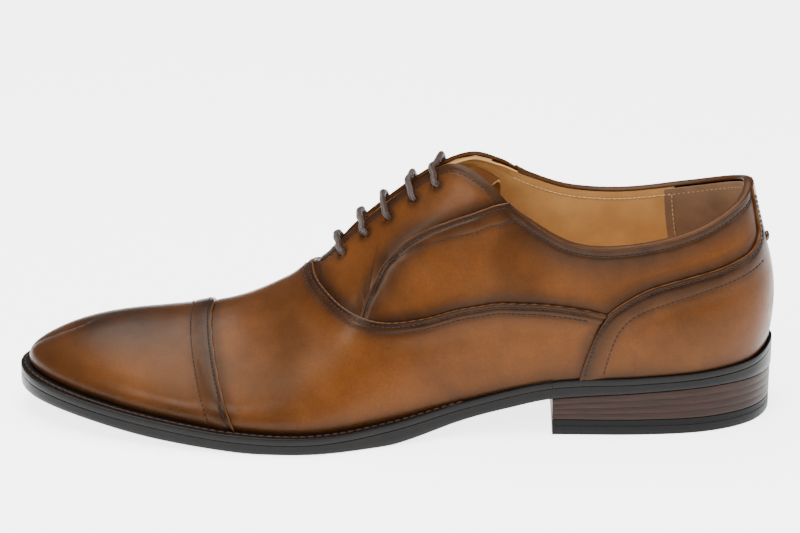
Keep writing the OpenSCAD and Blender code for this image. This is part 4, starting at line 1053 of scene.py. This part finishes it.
def sock_profile(u):
    low = number(feather_z, u) + 2.35 + 2.1 * (1 - min(1, max(0, (u - 2.6) / 1.4)))
    return [(-4.9, low + 1.0), (-4.4, low + 0.95), (-4.2, low + 0.7), (-4.2, low + 0.2), (-4.6, low)]


def make_sole():
    made = {}
    for name, profile, material, slot, stations, across, sharp in (
            ("outsole_edge", outsole_profile, SOLE, "sole", ALL_STATIONS, 9, 38),
            ("insole_sheet", insole_profile, BOARD, "insole_board", ALL_STATIONS, 9, 38),
            ("sock_liner", sock_profile, LINING_TAN, "lining_leather", ALL_STATIONS, 9, 38),
            ("heel_layers", stack_profile, STACK, "heel_wood", HEEL_STATIONS, 7, 30),
            ("top_lift_rubber", lift_profile, RUBBER, "toplift_rubber", HEEL_STATIONS, 7, 30)):
        build = Builder()
        station_body(build, stations, profile, across)
        made[name] = build.make(name, material, slot, sharp=sharp)
    end = HEEL_FRONT - 0.004
    for name, profile, loop in (("welt_strip", welt_profile, np.linspace(HEEL_FRONT, 24 - HEEL_FRONT, 260)),
                                ("rand_strip", rand_profile, np.linspace(-end, end, 130))):
        build = Builder()
        swept_edge(build, loop, profile)
        made[name] = build.make(name, WELT_BLACK, "sole")
    build = Builder()
    loop = np.linspace(5.0, 19.0, 900)
    width = welt_width(np.where(loop <= 12, loop, 24 - loop))[:, 0]
    p = feather(loop, 1) + (0.55 * width)[:, None] * outward(loop, 1)
    stitch_row(build, p, np.broadcast_to(UP, p.shape), (3.3, 2.7, 0.36), -0.08)
    made["welt_stitches"] = build.make("welt_stitches", WELT_THREAD, "welt_thread")
    return made


# ---------- lace, aglets and stud ----------
def tube(build, points, radii, sides):
    """Round cord through points, its rings carried on without twist; gives its along and around values."""
    forward = unit(np.gradient(points, axis=0))
    x = unit(np.cross(forward[0], [0.3, 0.9, 0.1]))
    angle = np.arange(sides) * 2 * math.pi / sides
    rings = []
    for p, d, r in zip(points, forward, radii):
        x = unit(x - d * np.dot(x, d))
        y = np.cross(d, x)
        rings.append(p + r * (np.cos(angle)[:, None] * x + np.sin(angle)[:, None] * y))
    build.bar(build.add(np.array(rings)))
    along = np.concatenate([[0], np.cumsum(np.linalg.norm(np.diff(points, axis=0), axis=1))])
    return np.repeat(along * MM, sides), np.tile(angle, len(points))


def make_lace():
    rough = np.array(LACE) / MM
    step = np.linalg.norm(np.diff(rough, axis=0), axis=1)
    key = np.concatenate([[0], np.cumsum(step)])
    points = Curve(np.column_stack([key, rough]))(np.arange(0, key[-1], 0.45))
    build = Builder()
    along, around = tube(build, points, np.full(len(points), LACE_WIDTH / MM / 2), 16)
    obj = build.make("lace_cord", LACE_CORD, "lace_cotton", merge=0.0005, sharp=80)
    for key_name, values in (("along", along), ("around", around)):
        layer = obj.data.attributes.new(key_name, "FLOAT", "POINT")
        layer.data.foreach_set("value", values.astype(np.float32))
    for name, tip, before in (("aglet_tube_outer", 0, 1), ("aglet_tube_inner", -1, -2)):
        d = unit(rough[tip] - rough[before])
        line = np.array([rough[tip] + d * x for x in (0.2, 0.3, 0.6, 5, 10, 15, 17.4, 17.8, 18)])
        build = Builder()
        tube(build, line, 1.2 * np.array([0.86, 0.95, 1, 1, 1, 1, 1, 0.9, 0.78]), 20)
        aglet = build.make(name, PLASTIC, "aglet_plastic")
        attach(aglet, "shoe")
        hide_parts("aglet_outer" if tip == 0 else "aglet_inner")
    return obj


def make_stud():
    build = Builder()
    centre = np.array([-150.6, -1.5, 74])
    profile = [(-0.8, 0.05), (-0.75, 0.5), (-0.55, 1.3), (-0.25, 1.9), (0.1, 2.15), (0.45, 2.2), (0.9, 2.1),
               (0.95, 0.75), (1.9, 0.7)]
    angle = np.arange(40) * 2 * math.pi / 40
    rings = [centre + np.stack([0 * angle + x, r * np.cos(angle), r * np.sin(angle)], -1) for x, r in profile]
    build.bar(build.add(np.array(rings)))
    return build.make("stud_head", STUD, "stud_metal")


# ---------- lace holes ----------
def punched(obj, s, deep):
    """Cuts the lace holes through a piece."""
    cutter = bmesh.new()
    for hole_u, hole_t in HOLES:
        p, n = surf(hole_u, hole_t, s), normal(hole_u, hole_t, s)
        turn = Vector(n).to_track_quat("Z", "Y").to_matrix().to_4x4()
        turn.translation = Vector((p - n * deep / 2 + n * 2) * MM)
        bmesh.ops.create_cone(cutter, cap_ends=True, segments=32, radius1=HOLE_WIDTH / 2 * MM,
                              radius2=HOLE_WIDTH / 2 * MM, depth=(deep + 4) * MM, matrix=turn)
    mesh = bpy.data.meshes.new("holes")
    cutter.to_mesh(mesh)
    cutter.free()
    holes = bpy.data.objects.new("holes", mesh)
    bpy.context.scene.collection.objects.link(holes)
    cut = obj.modifiers.new("holes", "BOOLEAN")
    cut.object = holes
    cut.operation = "DIFFERENCE"
    cut.solver = "EXACT"
    bpy.context.view_layer.update()
    done = bpy.data.meshes.new_from_object(obj.evaluated_get(bpy.context.evaluated_depsgraph_get()))
    obj.modifiers.clear()
    old = obj.data
    obj.data = done
    bpy.data.meshes.remove(old)
    bpy.data.objects.remove(holes)
    bpy.data.meshes.remove(mesh)


# ---------- putting the pieces on their bodies ----------
def riding(obj, body, *nodes):
    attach(obj, body)
    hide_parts(*nodes)


def bending(obj, *nodes):
    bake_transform(obj)
    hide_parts(*nodes)


riding(make_lace(), "shoe", "lace")
bending(make_vamp(), "vamp")
riding(make_cap(), "forepart", "toe_cap")
for s in (1, -1):
    facing = make_facing(s)
    punched(facing, s, 4)
    riding(facing, "shoe", "facing_" + SIDES[s])
    riding(make_quarter(s), "shoe", "quarter_" + SIDES[s])
    lining = make_quarter_lining(s)
    punched(lining, s, 8)
    riding(lining, "shoe", "quarter_lining_" + SIDES[s])
riding(make_foxing(), "shoe", "heel_foxing")
riding(make_binding(), "shoe", "topline_binding")
riding(make_grip(), "shoe", "heel_grip")
bending(make_vamp_lining(), "vamp_lining_toe", "vamp_lining_rear")
riding(make_tongue(), "tongue_flap", "tongue")
riding(make_stud(), "shoe", "heel_stud")

rows = make_stitches()
riding(rows["cap"].make("cap_stitches", THREAD, "thread"), "forepart", "cap_stitching")
bending(rows["vamp"].make("vamp_stitches", THREAD, "thread"), "vamp_stitching")
for key in ("quarter", "foxing", "topline"):
    riding(rows[key].make(key + "_stitches", THREAD, "thread"), "shoe", key + "_stitching")
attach(rows["lining"].make("lining_stitches", PALE_THREAD, "thread"), "shoe")

sole = make_sole()
bending(sole["outsole_edge"], "outsole_toe", "outsole_rear")
bending(sole["insole_sheet"], "insole_toe", "insole_rear")
bending(sole["sock_liner"], "sock_toe", "sock_rear")
bending(sole["welt_strip"], "welt_toe", "welt_waist")
bending(sole["welt_stitches"], "welt_stitching_toe", "welt_stitching_waist")
riding(sole["rand_strip"], "shoe", "heel_rand")
riding(sole["heel_layers"], "shoe", "heel_stack")
riding(sole["top_lift_rubber"], "shoe", "top_lift")

# the hidden pieces keep their CAD shapes
for node, material in (("facing_stay_outer", LINING_TAN), ("facing_stay_inner", LINING_TAN),
                       ("toe_puff", STIFFENER), ("heel_counter", STIFFENER), ("heel_pad", FOAM),
                       ("shank", STEEL), ("cork_toe", CORK), ("cork_rear", CORK), ("heel_nails", STEEL)):
    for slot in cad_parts[node].material_slots:
        slot.material = material

# ---------- floor, light and world ----------
floor_mesh = bpy.data.meshes.new("floor")
FLOOR = 4.0
corners = [(-FLOOR, -FLOOR, 0), (FLOOR, -FLOOR, 0), (FLOOR, FLOOR, 0), (-FLOOR, FLOOR, 0)]
floor_mesh.from_pydata(corners, [], [(0, 1, 2, 3)])
floor = bpy.data.objects.new("floor", floor_mesh)
bpy.context.scene.collection.objects.link(floor)
ground = Shader("studio_floor")
ground.put(Base_Color=ground.blended(ground.noise(3, 2), (0.9, 0.9, 0.9, 1), (0.94, 0.94, 0.94, 1)))
ground.put(Roughness=ground.ranged(ground.noise(6, 2), 0.3, 0.7, 0.22, 0.3))
ground.put(Emission_Color=(1, 1, 1, 1), Emission_Strength=3.4)
floor_mesh.materials.append(ground.material)


def soft_light(name, place, target, size, power):
    data = bpy.data.lights.new(name, "AREA")
    data.shape = "RECTANGLE"
    data.size, data.size_y = size
    data.energy = power
    light = bpy.data.objects.new(name, data)
    bpy.context.scene.collection.objects.link(light)
    light.location = place
    light.rotation_euler = (Vector(target) - Vector(place)).to_track_quat("-Z", "Y").to_euler()


CENTRE = (0, 0, 0.05)
soft_light("overhead_soft", (0.1, 0.0, 1.1), CENTRE, (1.5, 0.9), 36)
soft_light("front_soft", (0.9, 1.3, 1.1), CENTRE, (0.5, 0.5), 16)
soft_light("heel_soft", (-1.2, 0.5, 0.6), CENTRE, (0.5, 0.8), 8)
world = bpy.data.worlds.new("studio")
bpy.context.scene.world = world
world.use_nodes = True
world.node_tree.nodes["Background"].inputs["Color"].default_value = (1, 1, 1, 1)
world.node_tree.nodes["Background"].inputs["Strength"].default_value = 0.3
